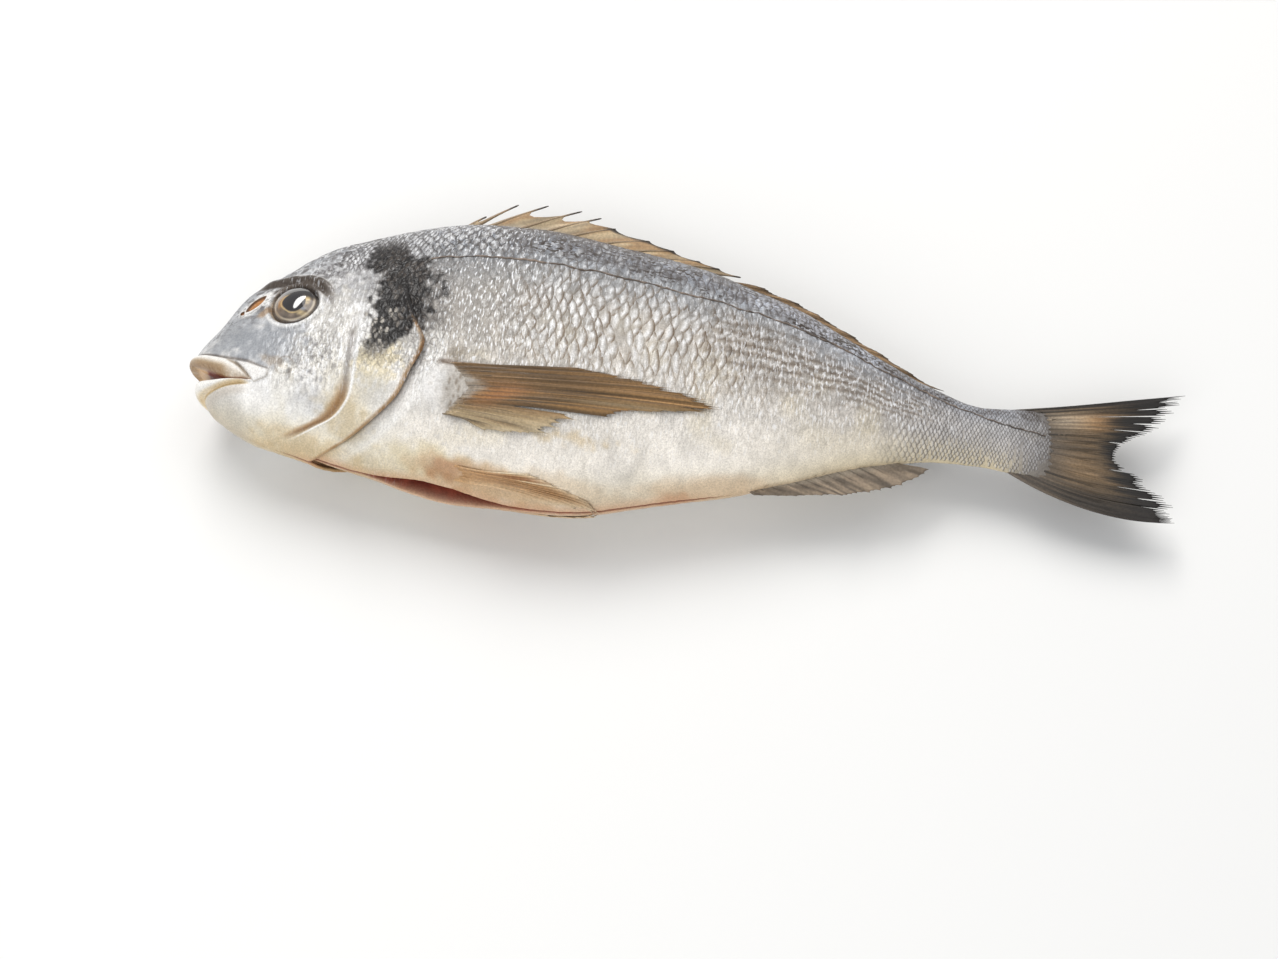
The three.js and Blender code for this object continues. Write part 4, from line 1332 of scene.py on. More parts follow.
@dataclass
class Skin:
    """The skin under the scales: the head and the trunk, which meet in the gap behind the gill covers."""

    fish: Fish
    coat: Coat
    head_sides: int = 428
    trunk_sides: int = 300

    def levels(self) -> tuple[Array, Array]:
        """The rings of the head and of the trunk."""
        head = np.concatenate([
            np.linspace(0.12, 1, 6), np.linspace(1.2, 28, 92), np.linspace(28.4, GILL_EDGE - 1, 108),
            np.linspace(GILL_EDGE - 0.8, GILL_EDGE + 2.6, 18),
        ])
        trunk = np.concatenate([
            np.linspace(GILL_EDGE + 2.4, GILL_EDGE + 6, 20), np.linspace(GILL_EDGE + 6.5, 190, 150),
            np.linspace(191.2, BODY_END, 84),
        ])
        return head, trunk

    def build(self, finish: Material) -> list[Object]:
        """Builds and colours both pieces of skin."""
        head, trunk = self.levels()

        def on_head(turn: Array) -> Array:
            """More points on both cheeks and along the throat."""
            return 1 + 0.9 * bump(on_left(turn) - 12, 55) + 1.2 * bump(on_left(turn) + 90, 14)

        def on_trunk(turn: Array) -> Array:
            """More points along the cut belly."""
            return 1 + 2.2 * bump(on_left(turn) + 90, 16)

        return [
            self.loft("head_skin", head, spread(on_head, self.head_sides), finish, snout=True),
            self.loft("trunk_skin", trunk, spread(on_trunk, self.trunk_sides), finish, snout=False),
        ]

    def loft(self, name: str, levels: Array, turns: Array, finish: Material, snout: bool) -> Object:
        """A skin over rings, closed by a point at the snout or at the root of the tail."""
        level, turn = np.meshgrid(levels, turns, indexing="ij")
        points = self.fish.skin(level, turn)
        colours = self.coat.on_skin(self.fish, level, turn, points)
        rows, columns = level.shape
        faces = grid_faces(rows, columns, closed=True)
        ring = 0 if snout else (rows - 1) * columns
        edge = points[0 if snout else -1]
        pole = rows * columns
        for k in range(columns):
            ahead = (k + 1) % columns
            faces.append((pole, ring + k, ring + ahead) if snout else (pole, ring + ahead, ring + k))
        every = np.vstack([points.reshape(-1, 3), edge.mean(0, keepdims=True)])
        tints = np.vstack([colours.reshape(-1, 3), colours[0 if snout else -1].mean(0, keepdims=True)])
        made = make_object(name, lay_down(every), [f[::-1] for f in faces], finish)
        set_tint(made.data, tints)
        traits = self.coat.traits(self.fish, level, turn, points).reshape(-1, 3)
        set_shares(made.data, "traits", np.vstack([traits, traits[-1:]]))
        settle(made)
        return made


# ---- the scales
@dataclass
class ScaleCover:
    """The scales of one flank: large ones on the trunk, small ones on the nape and the gill cover."""

    fish: Fish
    coat: Coat
    flank: Flank
    columns: int = 124
    rows: int = 46
    first: float = 40.0
    last: float = 285.5
    line_row: float = 0.62

    def pitch(self, level: Array) -> Array:
        """The distance between scales along the body."""
        return Curve([
            (40, 2.1), (60, 2.2), (80, 2.5), (104, 3.2), (130, 3.4), (160, 3.4), (195, 3), (225, 2.2),
            (252, 1.35), (286, 1.05),
        ]).one(level)

    def shown(self, level: Array, side: Array, along: Array, high: Array) -> Array:
        """How sure it is that a place has a scale."""
        behind = smooth(level, GILL_EDGE + 6.5, GILL_EDGE + 9)
        nape = smooth(side, 24, 32) * smooth(along, 42, 50)
        there = np.maximum(behind, nape)
        end = 285 - 0.05 * (high - 3) ** 2
        there = there * fall(along - end, -2, 2) * smooth(side, -84, -78)
        root = np.hypot((along - 89) / 1.25, (high + 10.8) / 1.15)
        return there * smooth(root, 8, 9.5)

    def lifted(self, side: Array, along: Array) -> Array:
        """How far the scales stand up, from 0 to 1."""
        calm = 1 - 0.88 * smooth(-side, 8, 42) * (1 - 0.5 * smooth(along, 150, 200))
        rear = 1 - 0.45 * smooth(along, 168, 200) - 0.3 * smooth(along, 255, 280)
        return calm * (0.4 + 0.6 * smooth(along, 88, 128)) * rear * (1 - 0.3 * smooth(side, 40, 60))

    def sheet(self) -> Object:
        """The sheet that the scales are laid on, with its map and its guides."""
        levels = np.linspace(self.first, self.last, 300)
        sides = np.concatenate([np.linspace(-89.5, 89.5, 160), [96, 103, 110]])
        level, turn = np.meshgrid(levels, sides, indexing="ij")
        points = self.fish.skin(level, turn)
        along, side, _ = self.fish.place(level, turn)
        step = np.linalg.norm(np.diff(points, axis=1), axis=-1)
        arc = np.concatenate([np.zeros((len(levels), 1)), np.cumsum(step, axis=1)], axis=1)
        line = self.fish.turn_at(levels, SIDE_LINE.one(levels))
        zero = np.array([np.interp(a, sides, row) for a, row in zip(line, arc)])
        pitch = self.pitch(levels)
        run = np.concatenate([[0.0], np.cumsum(np.diff(levels) * 2 / (pitch[1:] + pitch[:-1]))])
        u = np.repeat(run[:, None] + 0.5, len(sides), axis=1)
        tall = 1 + 0.55 * bump(levels - 148, 80)
        v = (arc - zero[:, None]) / (pitch * tall)[:, None] + self.line_row * self.rows
        u += 0.9 * sway(points, 16, 61) + 0.5 * sway(points, 7, 62)
        v += 0.9 * sway(points, 16, 63) + 0.5 * sway(points, 7, 64)
        u, v = u / self.columns, v / self.rows
        log.info("scales: map %.3f to %.3f, %.3f to %.3f", u.min(), u.max(), v.min(), v.max())
        flipped = points * self.flank.flip
        laid = lay_down(flipped)
        ahead = np.gradient(laid, axis=0)
        around = np.gradient(laid, axis=1)
        out = np.cross(ahead, around) * self.flank.value
        out /= np.maximum(np.linalg.norm(out, axis=-1, keepdims=True), 1e-12)
        made = make_object(self.flank.named("scales"), laid, grid_faces(*level.shape, closed=False))
        mesh = made.data
        shown = self.shown(level, np.where(turn > 90, 180 - turn, turn), along, points[..., 1])
        lift = self.lifted(side, along)
        guide = np.stack([shown, lift, np.repeat(pitch[:, None], len(sides), axis=1) * MM], axis=-1)
        set_values(mesh, "guide", guide.reshape(-1, 3))
        set_values(mesh, "out", out.reshape(-1, 3))
        set_values(mesh, "place", on_plane(level, turn).reshape(-1, 3))
        lay = mesh.uv_layers.new(name="lay")
        corner = np.zeros(len(mesh.loops), np.int32)
        mesh.loops.foreach_get("vertex_index", corner)
        lay.data.foreach_set("uv", np.stack([u.ravel()[corner], v.ravel()[corner]], axis=-1).ravel())
        return made

    def marks(
        self,
        along: Array,
        side: Array,
        middle: Array,
        luck: Array,
        reach: Array,
        edge_on: Array,
        across: Array,
    ) -> Layers:
        """The marks that every scale wears, and the painted highlights laid over them.

        Args:
            along: the places of the scales' points along the body.
            side: their turns, as read on the left flank.
            middle: the skin under them.
            luck: a number from 0 to 1 that is each scale's own.
            reach: how far back a point lies on its scale, from 0 to 1.
            edge_on: how surely it is on the rim.
            across: how far aside it lies, from -1 to 1.

        Yields:
            Colours and their weights.
        """
        tan = bump(side - 8, 42) * window(along, 92, 125, 176, 208)
        worn = smooth(mottle(middle, 2.4, 65), 0.25, 0.5)
        yield (106, 86, 64), edge_on * tan * worn * (0.45 + 0.4 * smooth(luck, 0.2, 0.7))
        # A painted highlight: a white band just in front of each rim.
        highlight_band = tan * bump(reach - 1, 0.3) * (1 - edge_on) * smooth(mottle(middle, 2, 69), 0.3, 0.5)
        yield (247, 247, 248), 0.85 * highlight_band
        yield (76, 70, 69), 0.75 * edge_on * smooth(side, 30, 50)
        rear = smooth(along, 222, 250)
        yield (74, 70, 70), 0.75 * np.maximum(edge_on, bump(reach, 0.5)) * rear
        # A painted highlight near the rear rims of the small scales at the tail.
        shine = 0.7 * bump(reach - 0.9, 0.24) * (1 - edge_on)
        yield (214, 215, 220), shine * bump(across, 0.8) * rear
        dash = window(along, 160, 184, 236, 258) * bump(side - 12, 32)
        dash = dash * smooth(mottle(middle, 5, 68) + 0.4 * luck, 0.35, 0.6)
        # Painted highlights on the sides of the dashed scales.
        yield (236, 236, 238), 0.55 * dash * bump(np.abs(across) - 0.72, 0.34)
        middle_dash = 0.95 * dash * bump(across, 0.55)
        yield (92, 76, 60), middle_dash * (0.55 + 0.45 * bump(reach - 0.7, 0.5))
        back = smooth(side, 36, 44) * smooth(along, 84, 100)
        dash = back * smooth(mottle(middle, 8, 67) + 0.5 * luck, 0.55, 0.8)
        yield (60, 50, 44), 0.9 * dash * bump(reach - 0.6, 0.6) * bump(across, 0.9)
        # Painted glints near the rims of scales on the back.
        spark = back * smooth(luck, 0.5, 0.7) * (1 - dash) * bump(reach - 0.92, 0.2) * bump(across, 0.8)
        yield (216, 217, 220), 0.45 * spark
        clear = 1 - self.coat.blotching(along, middle[:, 1], middle)
        nape = smooth(side, 30, 40) * fall(along, 92, 112) * clear
        yield (72, 69, 70), 0.85 * nape * np.maximum(fall(reach, 0.4, 0.8), edge_on)
        # Painted highlights on the exposed rear of the nape's scales.
        lit = smooth(reach, 0.5, 0.9) * (1 - edge_on) * bump(across, 0.95) * smooth(luck, 0.1, 0.3)
        yield (250, 250, 252), 0.95 * nape * lit
        # Painted glints near the rear of the scales on the flank.
        glint = smooth(reach, 0.7, 1) * (1 - edge_on) * smooth(mottle(middle, 2, 66), 0.55, 0.75)
        yield (240, 239, 238), 0.5 * glint * smooth(side, -25, 10) * (1 - 0.8 * smooth(along, 150, 230))

    def build(self, tree: Tree, finish: Material) -> Object:
        """Lays the scales on the sheet and colours them."""
        made = grow(self.sheet(), tree, finish, {"Columns": self.columns, "Rows": self.rows})
        mesh = made.data
        place, spot, edge = (get_vectors(mesh, name) for name in ("place", "spot", "edge"))
        luck, (level, turn, _), (reach, rim, across) = place[:, 2], spot.T, edge.T
        middle = self.fish.skin(level, turn * self.flank.value + (0 if self.flank is Flank.LEFT else 180))
        colours = self.coat.on_skin(self.fish, level, turn, middle)
        along, side, _ = self.fish.place(level, turn)
        edge_on = smooth(rim, 0, 0.1)
        colours *= (1 + (0.2 * luck - 0.1) * (0.3 + 0.7 * smooth(side, -25, 10)))[:, None]
        colours = layered(colours, self.marks(along, side, middle, luck, reach, edge_on, across))
        set_tint(mesh, colours)
        set_shares(mesh, "traits", self.coat.traits(self.fish, level, turn, middle))
        points = np.zeros(len(mesh.vertices) * 3, np.float32)
        mesh.vertices.foreach_get("co", points)
        points = points.reshape(-1, 3)
        points[:, 2] = np.maximum(points[:, 2], 0.0)
        mesh.vertices.foreach_set("co", points.ravel())
        for name in ("guide", "out", "lay", "edge", "place", "spot"):
            layer = mesh.attributes.get(name)
            if layer:
                mesh.attributes.remove(layer)
        settle(made)
        return made


# ---- the eyes
@dataclass
class Eye:
    """An eye: a wet dome with its pupil, its iris and the dark ring round it, all in one surface."""

    fish: Fish
    flank: Flank
    ball: float = 13.0
    proud: float = 2.1
    level: float = 0.5
    rings: int = 60
    spokes: int = 128
    black: Colour = (34, 30, 29)

    def build(self, finish: Material) -> Object:
        """Builds and colours the eye."""
        along, high = self.fish.eye
        turn = self.fish.turn_at(np.array(along), np.array(high))
        normal = self.fish.outward(np.array(along), turn) + np.array([0.0, 0.0, self.level])
        normal /= np.linalg.norm(normal)
        tailward = np.array([1.0, 0.0, 0.0]) - normal * normal[0]
        tailward /= np.linalg.norm(tailward)
        upward = np.cross(normal, tailward)
        seat = self.fish.flank(np.array(along), turn)
        far = np.linspace(0, self.fish.eye_radius + 0.8, self.rings + 1)[1:]
        angle = np.linspace(0, 2 * math.pi, self.spokes, endpoint=False)
        r, a = np.meshgrid(far, angle, indexing="ij")
        x, y = r * np.cos(a), r * np.sin(a)
        dome = np.sqrt(self.ball**2 - r**2) - self.ball + self.proud
        dome += 0.1 * sway(on_plane(x, y), 4, 31)
        dome -= 0.35 * smooth(r, 7.5, 8.2) * fall(y, 0, 3)
        rings = x[..., None] * tailward + y[..., None] * upward + dome[..., None] * normal
        points = seat + self.fish.eye_scale * rings
        pole = seat + self.fish.eye_scale * self.proud * normal
        return make_dish("eye", points, pole, self.colours(x, y), self.black, self.flank, finish)

    def colours(self, x: Array, y: Array) -> Array:
        """The rings of the eye, from the pupil out; x points to the tail and y to the back."""
        flat = on_plane(x, y)
        grain = sway(flat, 0.9, 33)
        r, a = np.hypot(x, y), np.arctan2(y, x)
        round_eye = sway(np.stack([np.cos(a) * 3, np.sin(a) * 3, r / 1.4], -1), 1, 34)
        pupil = np.hypot((x - 0.5) / (4.1 + 0.4 * smooth(-x, 0, 4)), (y + 0.5) / (4 - 0.7 * smooth(-x, 0, 4)))
        paint = plain((116, 102, 88), x) * (1 + 0.2 * grain + 0.5 * round_eye)[..., None]
        brown = bump(np.hypot((x + 4.6) / 1.2, (y + 0.4) / 2), 2.4)
        paint = tinted(paint, (158, 116, 70), brown * (1 + grain))
        gold = np.maximum(
            bump(np.hypot(x - 5, (y - 0.8) / 1.7), 1.7), 0.9 * bump(np.hypot((x - 4.2) / 2, y + 5), 1.5)
        )
        return layered(paint, [
            ((216, 192, 142), gold * (1 + grain)),
            ((150, 154, 164), 0.9 * bump(np.hypot((x - 4) / 1.5, y + 3.2), 1.2)),
            ((198, 172, 120), 0.9 * bump(pupil - 1.12, 0.11) * smooth(-x - 0.4 * y, -3, 1)),
            (self.black, fall(pupil, 0.95, 1.05)),
            ((84, 74, 66), 0.45 * bump(r - 6.5, 0.7)),
            ((206, 192, 168), 0.8 * bump(r - 7.25, 0.5) * smooth(x - 0.6 * y, -4, 2)),
            ((176, 150, 112), 0.55 * bump(r - 7.2, 0.5) * smooth(-x, 3, 6)),
            ((62, 54, 48), smooth(r, 7.6, 8.1)),
            # Painted shadow of the brow over the top of the eye.
            ((38, 33, 30), 0.92 * smooth(y + 0.1 * x, 1.6, 3.8)),
        ])


@dataclass
class Nostril:
    """A nostril: a leaf-shaped slit or a small round hole with a soft raised rim."""

    fish: Fish
    name: str
    flank: Flank
    middle: tuple[float, float]
    half: tuple[float, float]
    lean: float = 50.0
    flesh: Colour = (178, 124, 74)

    def build(self, finish: Material) -> Object:
        """Builds and colours the nostril as rings from its floor out to a skirt under the skin."""
        spokes, far = 64, np.linspace(0.1, 1.35, 26)
        r, a = np.meshgrid(far, np.linspace(0, 2 * math.pi, spokes, endpoint=False), indexing="ij")
        run = self.half[0] * r * np.cos(a)
        off = self.half[1] * r * np.sin(a) * np.abs(np.sin(a)) ** 0.35
        c, s = math.cos(math.radians(self.lean)), math.sin(math.radians(self.lean))
        along, high = self.middle[0] + run * c - off * s, self.middle[1] + run * s + off * c
        turn = self.fish.turn_at(along, high)
        lift = -0.55 + 0.85 * smooth(r, 0.62, 1) - smooth(r, 1.08, 1.35)
        points = self.fish.flank(along, turn) + self.fish.outward(along, turn) * lift[..., None]
        paint = layered(plain(self.flesh, r), [
            ((92, 66, 46), smooth(r, 0.66, 0.86)),
            ((232, 229, 225), smooth(r, 0.94, 1.05)),
        ])
        return make_dish(self.name, points, points[0].mean(0), paint, self.flesh, self.flank, finish)


# ---- the fins
def hairs(share: Array, t: Array, across: float, along: float, seed: int) -> Array:
    """Noise from -0.5 to 0.5 over a fin, so many spots wide and so many long."""
    return sway(on_plane(share * across, t * along), 1, seed)


def standing(along: Array, high: Array, wide: Array) -> tuple[Array, Array]:
    """The points and the way across of a fin that stands between the flanks."""
    points = np.stack([along, high, wide], axis=-1)
    return points, np.broadcast_to(np.array([0.0, 0.0, 1.0]), points.shape)


@dataclass
class Fin:
    """A fin: a thin web with rays along it, that fray past its edge."""

    fish: Fish
    name: str
    rays: int = 12
    branches: int = 4
    split: tuple[float, float] = (0.25, 0.8)
    steps: int = 26
    fine: int = 4
    fray: float = 0.06
    notch: float = 0.03
    tears: float = 0.0
    web: tuple[float, float] = (0.55, 0.22)
    girth: tuple[float, float] = (0.42, 0.12)
    seed: int = 1

    def surface(self, share: Array, t: Array) -> tuple[Array, Array]:
        """Where the fin is.

        Args:
            share: the place across the fin, from 0 to 1.
            t: the place along a ray, from 0 at its root to 1 at its tip.

        Returns:
            The points, and the vectors of length 1 across the web.
        """
        raise NotImplementedError

    def colour(self, share: Array, t: Array) -> Array:
        """The web's colours."""
        raise NotImplementedError

    def ray_colour(self, share: Array, t: Array) -> Array:
        """The rays' colours."""
        return self.colour(share, t) * self.twig_shade(share)

    def fan(self, t: Array) -> Array:
        """Where every ray's branches lie across the fin, for each place along them."""
        opened = smooth(t, *self.split)[:, None, None] * 0.94 + 0.06
        ray = np.arange(self.rays)[None, :, None]
        twig = (np.arange(self.branches)[None, None, :] + 0.5) / self.branches - 0.5
        share = (ray + 0.5 + twig * opened) / self.rays
        return share.reshape(len(t), -1)

    def ends(self, count: int) -> Array:
        """How long each twig is, as a share of the fin's full length."""
        return 1 - self.fray * np.random.default_rng(self.seed).random(count) ** 1.5

    def web_ends(self, low: Array, part: Array, lengths: Array) -> Array:
        """How far the web reaches between two twigs, notched a little, and torn here and there between rays.

        Args:
            low: the number of the twig in front.
            part: the place between the twigs, from 0 to 1.
            lengths: how long the twigs are.

        Returns:
            The web's ends, as shares of the fin's full length.
        """
        torn = np.random.default_rng(self.seed + 90).random(len(lengths)) ** 3 * self.tears
        depth = self.notch + np.where((low + 1) % self.branches == 0, torn[low], 0.0)
        full = lengths[low] * (1 - part) + lengths[low + 1] * part
        return full * (1 - depth * np.sin(math.pi * part) ** 0.7) * WEB_SHARE

    def twig_shade(self, share: Array) -> Array:
        """How light each twig is against its neighbours."""
        count = share.shape[-1]
        return 0.62 + 0.6 * np.random.default_rng(self.seed + 50).random(count)[None, :, None]

    def build(self, tree: Tree, web: Material, ray: Material) -> list[Object]:
        """Builds the web and the rays."""
        return [self.build_web(web), self.build_rays(tree, ray)]

    def build_web(self, finish: Material) -> Object:
        """A closed thin sheet whose far edge is notched between the twigs."""
        t = np.linspace(0, 1, self.steps)
        share = self.fan(t)
        twigs = share.shape[1]
        between = np.arange((twigs - 1) * self.fine + 1) / self.fine
        low = np.minimum(between.astype(int), twigs - 2)
        part = between - low
        across = share[:, low] * (1 - part) + share[:, low + 1] * part
        lengths = self.ends(twigs)
        full = self.web_ends(low, part, lengths)
        along_ray = t[:, None] * full[None, :]
        points, normal = self.surface(across, along_ray)
        half = (self.web[0] * (1 - along_ray) + self.web[1] * along_ray) / 2
        half = half * (0.75 + 0.25 * np.cos(2 * math.pi * part))[None, :]
        upper, lower = points + normal * half[..., None], points - normal * half[..., None]
        rows, columns = across.shape
        faces = grid_faces(rows, columns, closed=False)
        below = [tuple(i + rows * columns for i in f[::-1]) for f in faces]
        last = (rows - 1) * columns
        rim = [
            *range(columns - 1),
            *range(columns - 1, last + columns - 1, columns),
            *range(last + columns - 1, last, -1),
            *range(last, 0, -columns),
        ]
        wall = [(a, b, b + rows * columns, a + rows * columns) for a, b in zip(rim, rim[1:] + rim[:1])]
        made = make_object(
            f"{self.name}_web", lay_down(np.vstack([upper.reshape(-1, 3), lower.reshape(-1, 3)])),
            faces + below + wall, finish,
        )
        made.data.validate()
        turn_out(made.data)
        tint = self.colour(across, along_ray)
        set_tint(made.data, np.vstack([tint.reshape(-1, 3)] * 2))
        settle(made)
        return made

    def build_rays(self, tree: Tree, finish: Material) -> Object:
        """The rays and their twigs."""
        t = np.linspace(0, 1, self.steps)
        share = self.fan(t)
        twigs = share.shape[1]
        lengths = self.ends(twigs)
        along_ray = t[:, None] * lengths[None, :]
        points, _ = self.surface(share, along_ray)
        start, end = self.girth
        girth = start * (1 - along_ray) + end * along_ray
        girth = girth * (0.7 + 0.3 * fall(t, *self.split))[:, None]
        girth *= np.where(t > 0.97, 0.5, 1.0)[:, None]
        edges = [
            (row * twigs + k, (row + 1) * twigs + k) for k in range(twigs) for row in range(self.steps - 1)
        ]
        made = make_object(f"{self.name}_rays", lay_down(points), [], edges=edges)
        set_values(made.data, "girth", girth.ravel() * MM)
        set_tint(made.data, self.ray_colour(share, along_ray))
        made = grow(made, tree, finish, {"Sides": 6})
        turn_out(made.data)
        settle(made)
        return made


def turn_out(mesh: Mesh) -> None:
    """Turns the faces of closed pieces outward."""
    work = bmesh.new()
    work.from_mesh(mesh)
    bmesh.ops.recalc_face_normals(work, faces=work.faces)
    work.to_mesh(mesh)
    work.free()


TAIL_RAYS = Curve([
    # share  root        middle      tip
    (0, 268, -7.4, 296, -19, 325.5, -20),
    (0.15, 271, -6, 297, -15, 326.5, -16.2),
    (0.3, 273, -3.2, 297, -8, 322.5, -8.8),
    (0.42, 274, -0.4, 297, -2.4, 312.5, -2.6),
    (0.5, 274, 2, 297, 2.2, 307.5, 2.4),
    (0.58, 274, 4.4, 297, 6.2, 309.5, 6.4),
    (0.72, 273, 8.2, 297, 11.4, 320.5, 13),
    (0.82, 272, 10.4, 297, 15, 327, 19.6),
    (0.9, 270, 12, 297, 17.4, 328.6, 24.4),
    (1, 268, 13.4, 297, 20.2, 329.6, 28.6),
])


@dataclass
class TailFin(Fin):
    """The forked tail fin, frayed at its edge, with a few deep gaps given by ray and depth."""

    gaps: tuple[tuple[int, float], ...] = ((3, 0.34), (5, 0.2), (7, 0.16), (10, 0.14), (12, 0.2), (14, 0.36))

    def surface(self, share: Array, t: Array) -> tuple[Array, Array]:
        """Bowed rays from the tail stalk, with a slight ripple."""
        root, middle, tip = np.split(TAIL_RAYS.at(share), 3, axis=-1)
        hook = 2 * middle - (root + tip) / 2
        t3 = t[..., None]
        flat = (1 - t3) ** 2 * root + 2 * t3 * (1 - t3) * hook + t3**2 * tip
        wide = 0.5 * np.sin(share * 9 + 1.0) * t**2
        return standing(flat[..., 0], flat[..., 1], wide)

    def ends(self, count: int) -> Array:
        """Every ray ends in a pointed strand."""
        dice = np.random.default_rng(self.seed)
        outer = np.abs(np.arange(count) % self.branches - (self.branches - 1) / 2) / ((self.branches - 1) / 2)
        rays = np.repeat(dice.random(self.rays), self.branches)
        middle = bump(np.linspace(-1.1, 1.1, count), 1.2)
        cut = 0.05 * outer**2 * dice.random(count) + self.fray * rays * middle + 0.03 * dice.random(count)
        cut[[0, -1]] = 0.0
        return 1 - cut

    def web_ends(self, low: Array, part: Array, lengths: Array) -> Array:
        """A web that is torn deep in a few places."""
        whole = super().web_ends(low, part, lengths)
        for ray, depth in self.gaps:
            torn = whole * (1 - depth * np.sin(math.pi * part) ** 0.5)
            whole = np.where(low + 1 == self.branches * ray, torn, whole)
        return whole

    def colour(self, share: Array, t: Array) -> Array:
        """Grey-brown, darker to the edge, nearly black at the tips and along the upper edge."""
        streak = hairs(share, t, 90, 3, 41)
        hair = hairs(share, t, 46, 2, 42)
        paint = plain((93, 76, 56), share) * (1 + 0.5 * streak + 0.8 * hair)[..., None]
        amber = 0.7 * bump(t - 0.56, 0.2) * bump(share - 0.76, 0.14)
        pale = 0.62 * bump(t - 0.36, 0.26) * bump(share - 0.78, 0.18)
        paint = layered(paint, [
            ((148, 112, 74), amber * (1 + hair)),
            ((88, 80, 72), 0.8 * fall(t, 0.16, 0.46)),
            ((156, 142, 124), pale * (1 + hair)),
        ])
        paint = paint * (1 + 0.3 * bump(share - 0.8, 0.24) * bump(t - 0.45, 0.3))[..., None]
        return layered(paint, [
            ((20, 17, 15), 0.97 * smooth(t + 0.2 * streak, 0.58, 0.82)),
            ((38, 34, 32), 0.85 * smooth(share, 0.9, 0.97) * smooth(t, 0.1, 0.4)),
            ((56, 52, 49), 0.75 * fall(share, 0.05, 0.3) * smooth(t, 0.1, 0.5)),
        ])


@dataclass
class BackFin(Fin):
    """The front of the back fin: stiff spines with a sagging web between them."""

    spines: tuple[tuple[float, float, float], ...] = (
        (82, 89.5, 67.2), (84, 99.8, 73.2), (88, 110.1, 74), (99, 121.8, 73), (108, 128.8, 71),
        (117, 134.2, 67.2), (127, 146.3, 63.6), (137, 155, 60.5), (147, 164.2, 57.4), (156, 171, 55.2),
        (165, 178.5, 53),
    )

    def surface(self, share: Array, t: Array) -> tuple[Array, Array]:
        """Spines that lean back, bowed a little."""
        rows = []
        last = len(self.spines) - 1
        for k, (along, tip, high) in enumerate(self.spines):
            back = float(self.fish.section(np.array(along))[0])
            rows.append((k / last, along, back - 1.2, tip, high))
        root_x, root_y, tip_x, tip_y = np.moveaxis(Curve(rows).at(share), -1, 0)
        bow = 0.4 * np.sin(math.pi * t)
        wide = 0.35 * np.sin(share * 31) * t
        return standing(root_x + (tip_x - root_x) * t - bow * 0.5, root_y + (tip_y - root_y) * t + bow, wide)

    def fan(self, t: Array) -> Array:
        """One ray for each spine."""
        return np.repeat(np.linspace(0, 1, len(self.spines))[None], len(t), axis=0)

    def ends(self, count: int) -> Array:
        """Every spine is whole."""
        return np.ones(count)

    def web_ends(self, low: Array, part: Array, lengths: Array) -> Array:
        """A web that starts below one spine's tip, sags, and then follows the next spine up."""
        torn = fall(low + part, 4, 5.2)
        leave = np.array([0.7, 0.55, 0.76, 0.76, 0.8])[np.minimum(low, 4)]
        join = np.array([0.55, 0.5, 0.76, 0.82, 0.9])[np.minimum(low, 4)]
        depth = np.array([0.25, 0.42, 0.2, 0.2, 0.12])[np.minimum(low, 4)]
        sag = leave * (1 - part) + join * part - depth * np.sin(math.pi * part) ** 0.8
        return sag * torn + (0.99 - 0.1 * np.sin(math.pi * part)) * (1 - torn)

    def colour(self, share: Array, t: Array) -> Array:
        """Tan with brown streaks along the spines and a ragged black edge."""
        streak = hairs(share, t, 70, 1.6, 51)
        broad = hairs(share, t, 24, 1.2, 52)
        paint = plain((188, 166, 132), share) * (1 + 0.6 * streak + 0.4 * broad)[..., None]
        paint = tinted(paint, (138, 104, 68), 0.7 * smooth(broad, 0, 0.2))
        paint = tinted(paint, (176, 172, 166), 0.6 * fall(t, 0.1, 0.3) * fall(share, 0.4, 0.6))
        edge = smooth(t + 0.1 * streak, 0.82, 0.92)
        return tinted(paint, (44, 39, 36), 0.9 * edge * smooth(share, 0.4, 0.5))

    def ray_colour(self, share: Array, t: Array) -> Array:
        """Tan spines with dark tips."""
        paint = plain((158, 136, 108), share)
        return tinted(paint, (62, 54, 48), 0.9 * smooth(t, 0.72, 0.92))


@dataclass
class FoldedFin(Fin):
    """The soft rear of the back fin, folded down along the back."""

    def surface(self, share: Array, t: Array) -> tuple[Array, Array]:
        """Rays that lie back along the ridge, each over the next."""
        along = 170 + 68 * share
        lean = 15.0 - 3.0 * share
        at = along + lean * t
        back = self.fish.section(at)[..., 0]
        rise = (2.6 - 1.4 * smooth(share, 0.6, 1)) * t - 1.2 * (1 - t)
        wide = 0.5 * np.sin(share * 40) * t + 0.25
        return standing(at, back + rise, wide)

    def colour(self, share: Array, t: Array) -> Array:
        """Tan-brown, with dark hair lines at the edge."""
        streak = hairs(share, t, 50, 2.5, 55)
        paint = plain((148, 120, 88), share) * (1 + 0.7 * streak)[..., None]
        return tinted(paint, (58, 50, 44), 0.8 * smooth(t, 0.7, 0.95))


@dataclass
class AnalFin(Fin):
    """The fin under the tail stalk, half folded back."""

    def surface(self, share: Array, t: Array) -> tuple[Array, Array]:
        """Rays that lean back from the belly."""
        along = 186 + 48 * share
        tip = along + 13 * (0.3 + 0.7 * smooth(share, 0, 0.4))
        deep = Curve([(0, 1.5), (0.2, 5), (0.45, 9.5), (0.7, 9.5), (0.9, 6), (1, 2.5)]).one(share)
        root_y = self.fish.section(along)[..., 1] + 1.0
        tip_y = self.fish.section(tip)[..., 1] - deep
        wide = 0.4 * np.sin(share * 20) * t
        return standing(along + (tip - along) * t, root_y + (tip_y - root_y) * t, wide)

    def colour(self, share: Array, t: Array) -> Array:
        """Grey-brown."""
        streak = hairs(share, t, 44, 2.5, 61)
        paint = plain((120, 106, 90), share) * (1 + 0.6 * streak)[..., None]
        return tinted(paint, (190, 180, 164), 0.5 * fall(t, 0.1, 0.4))


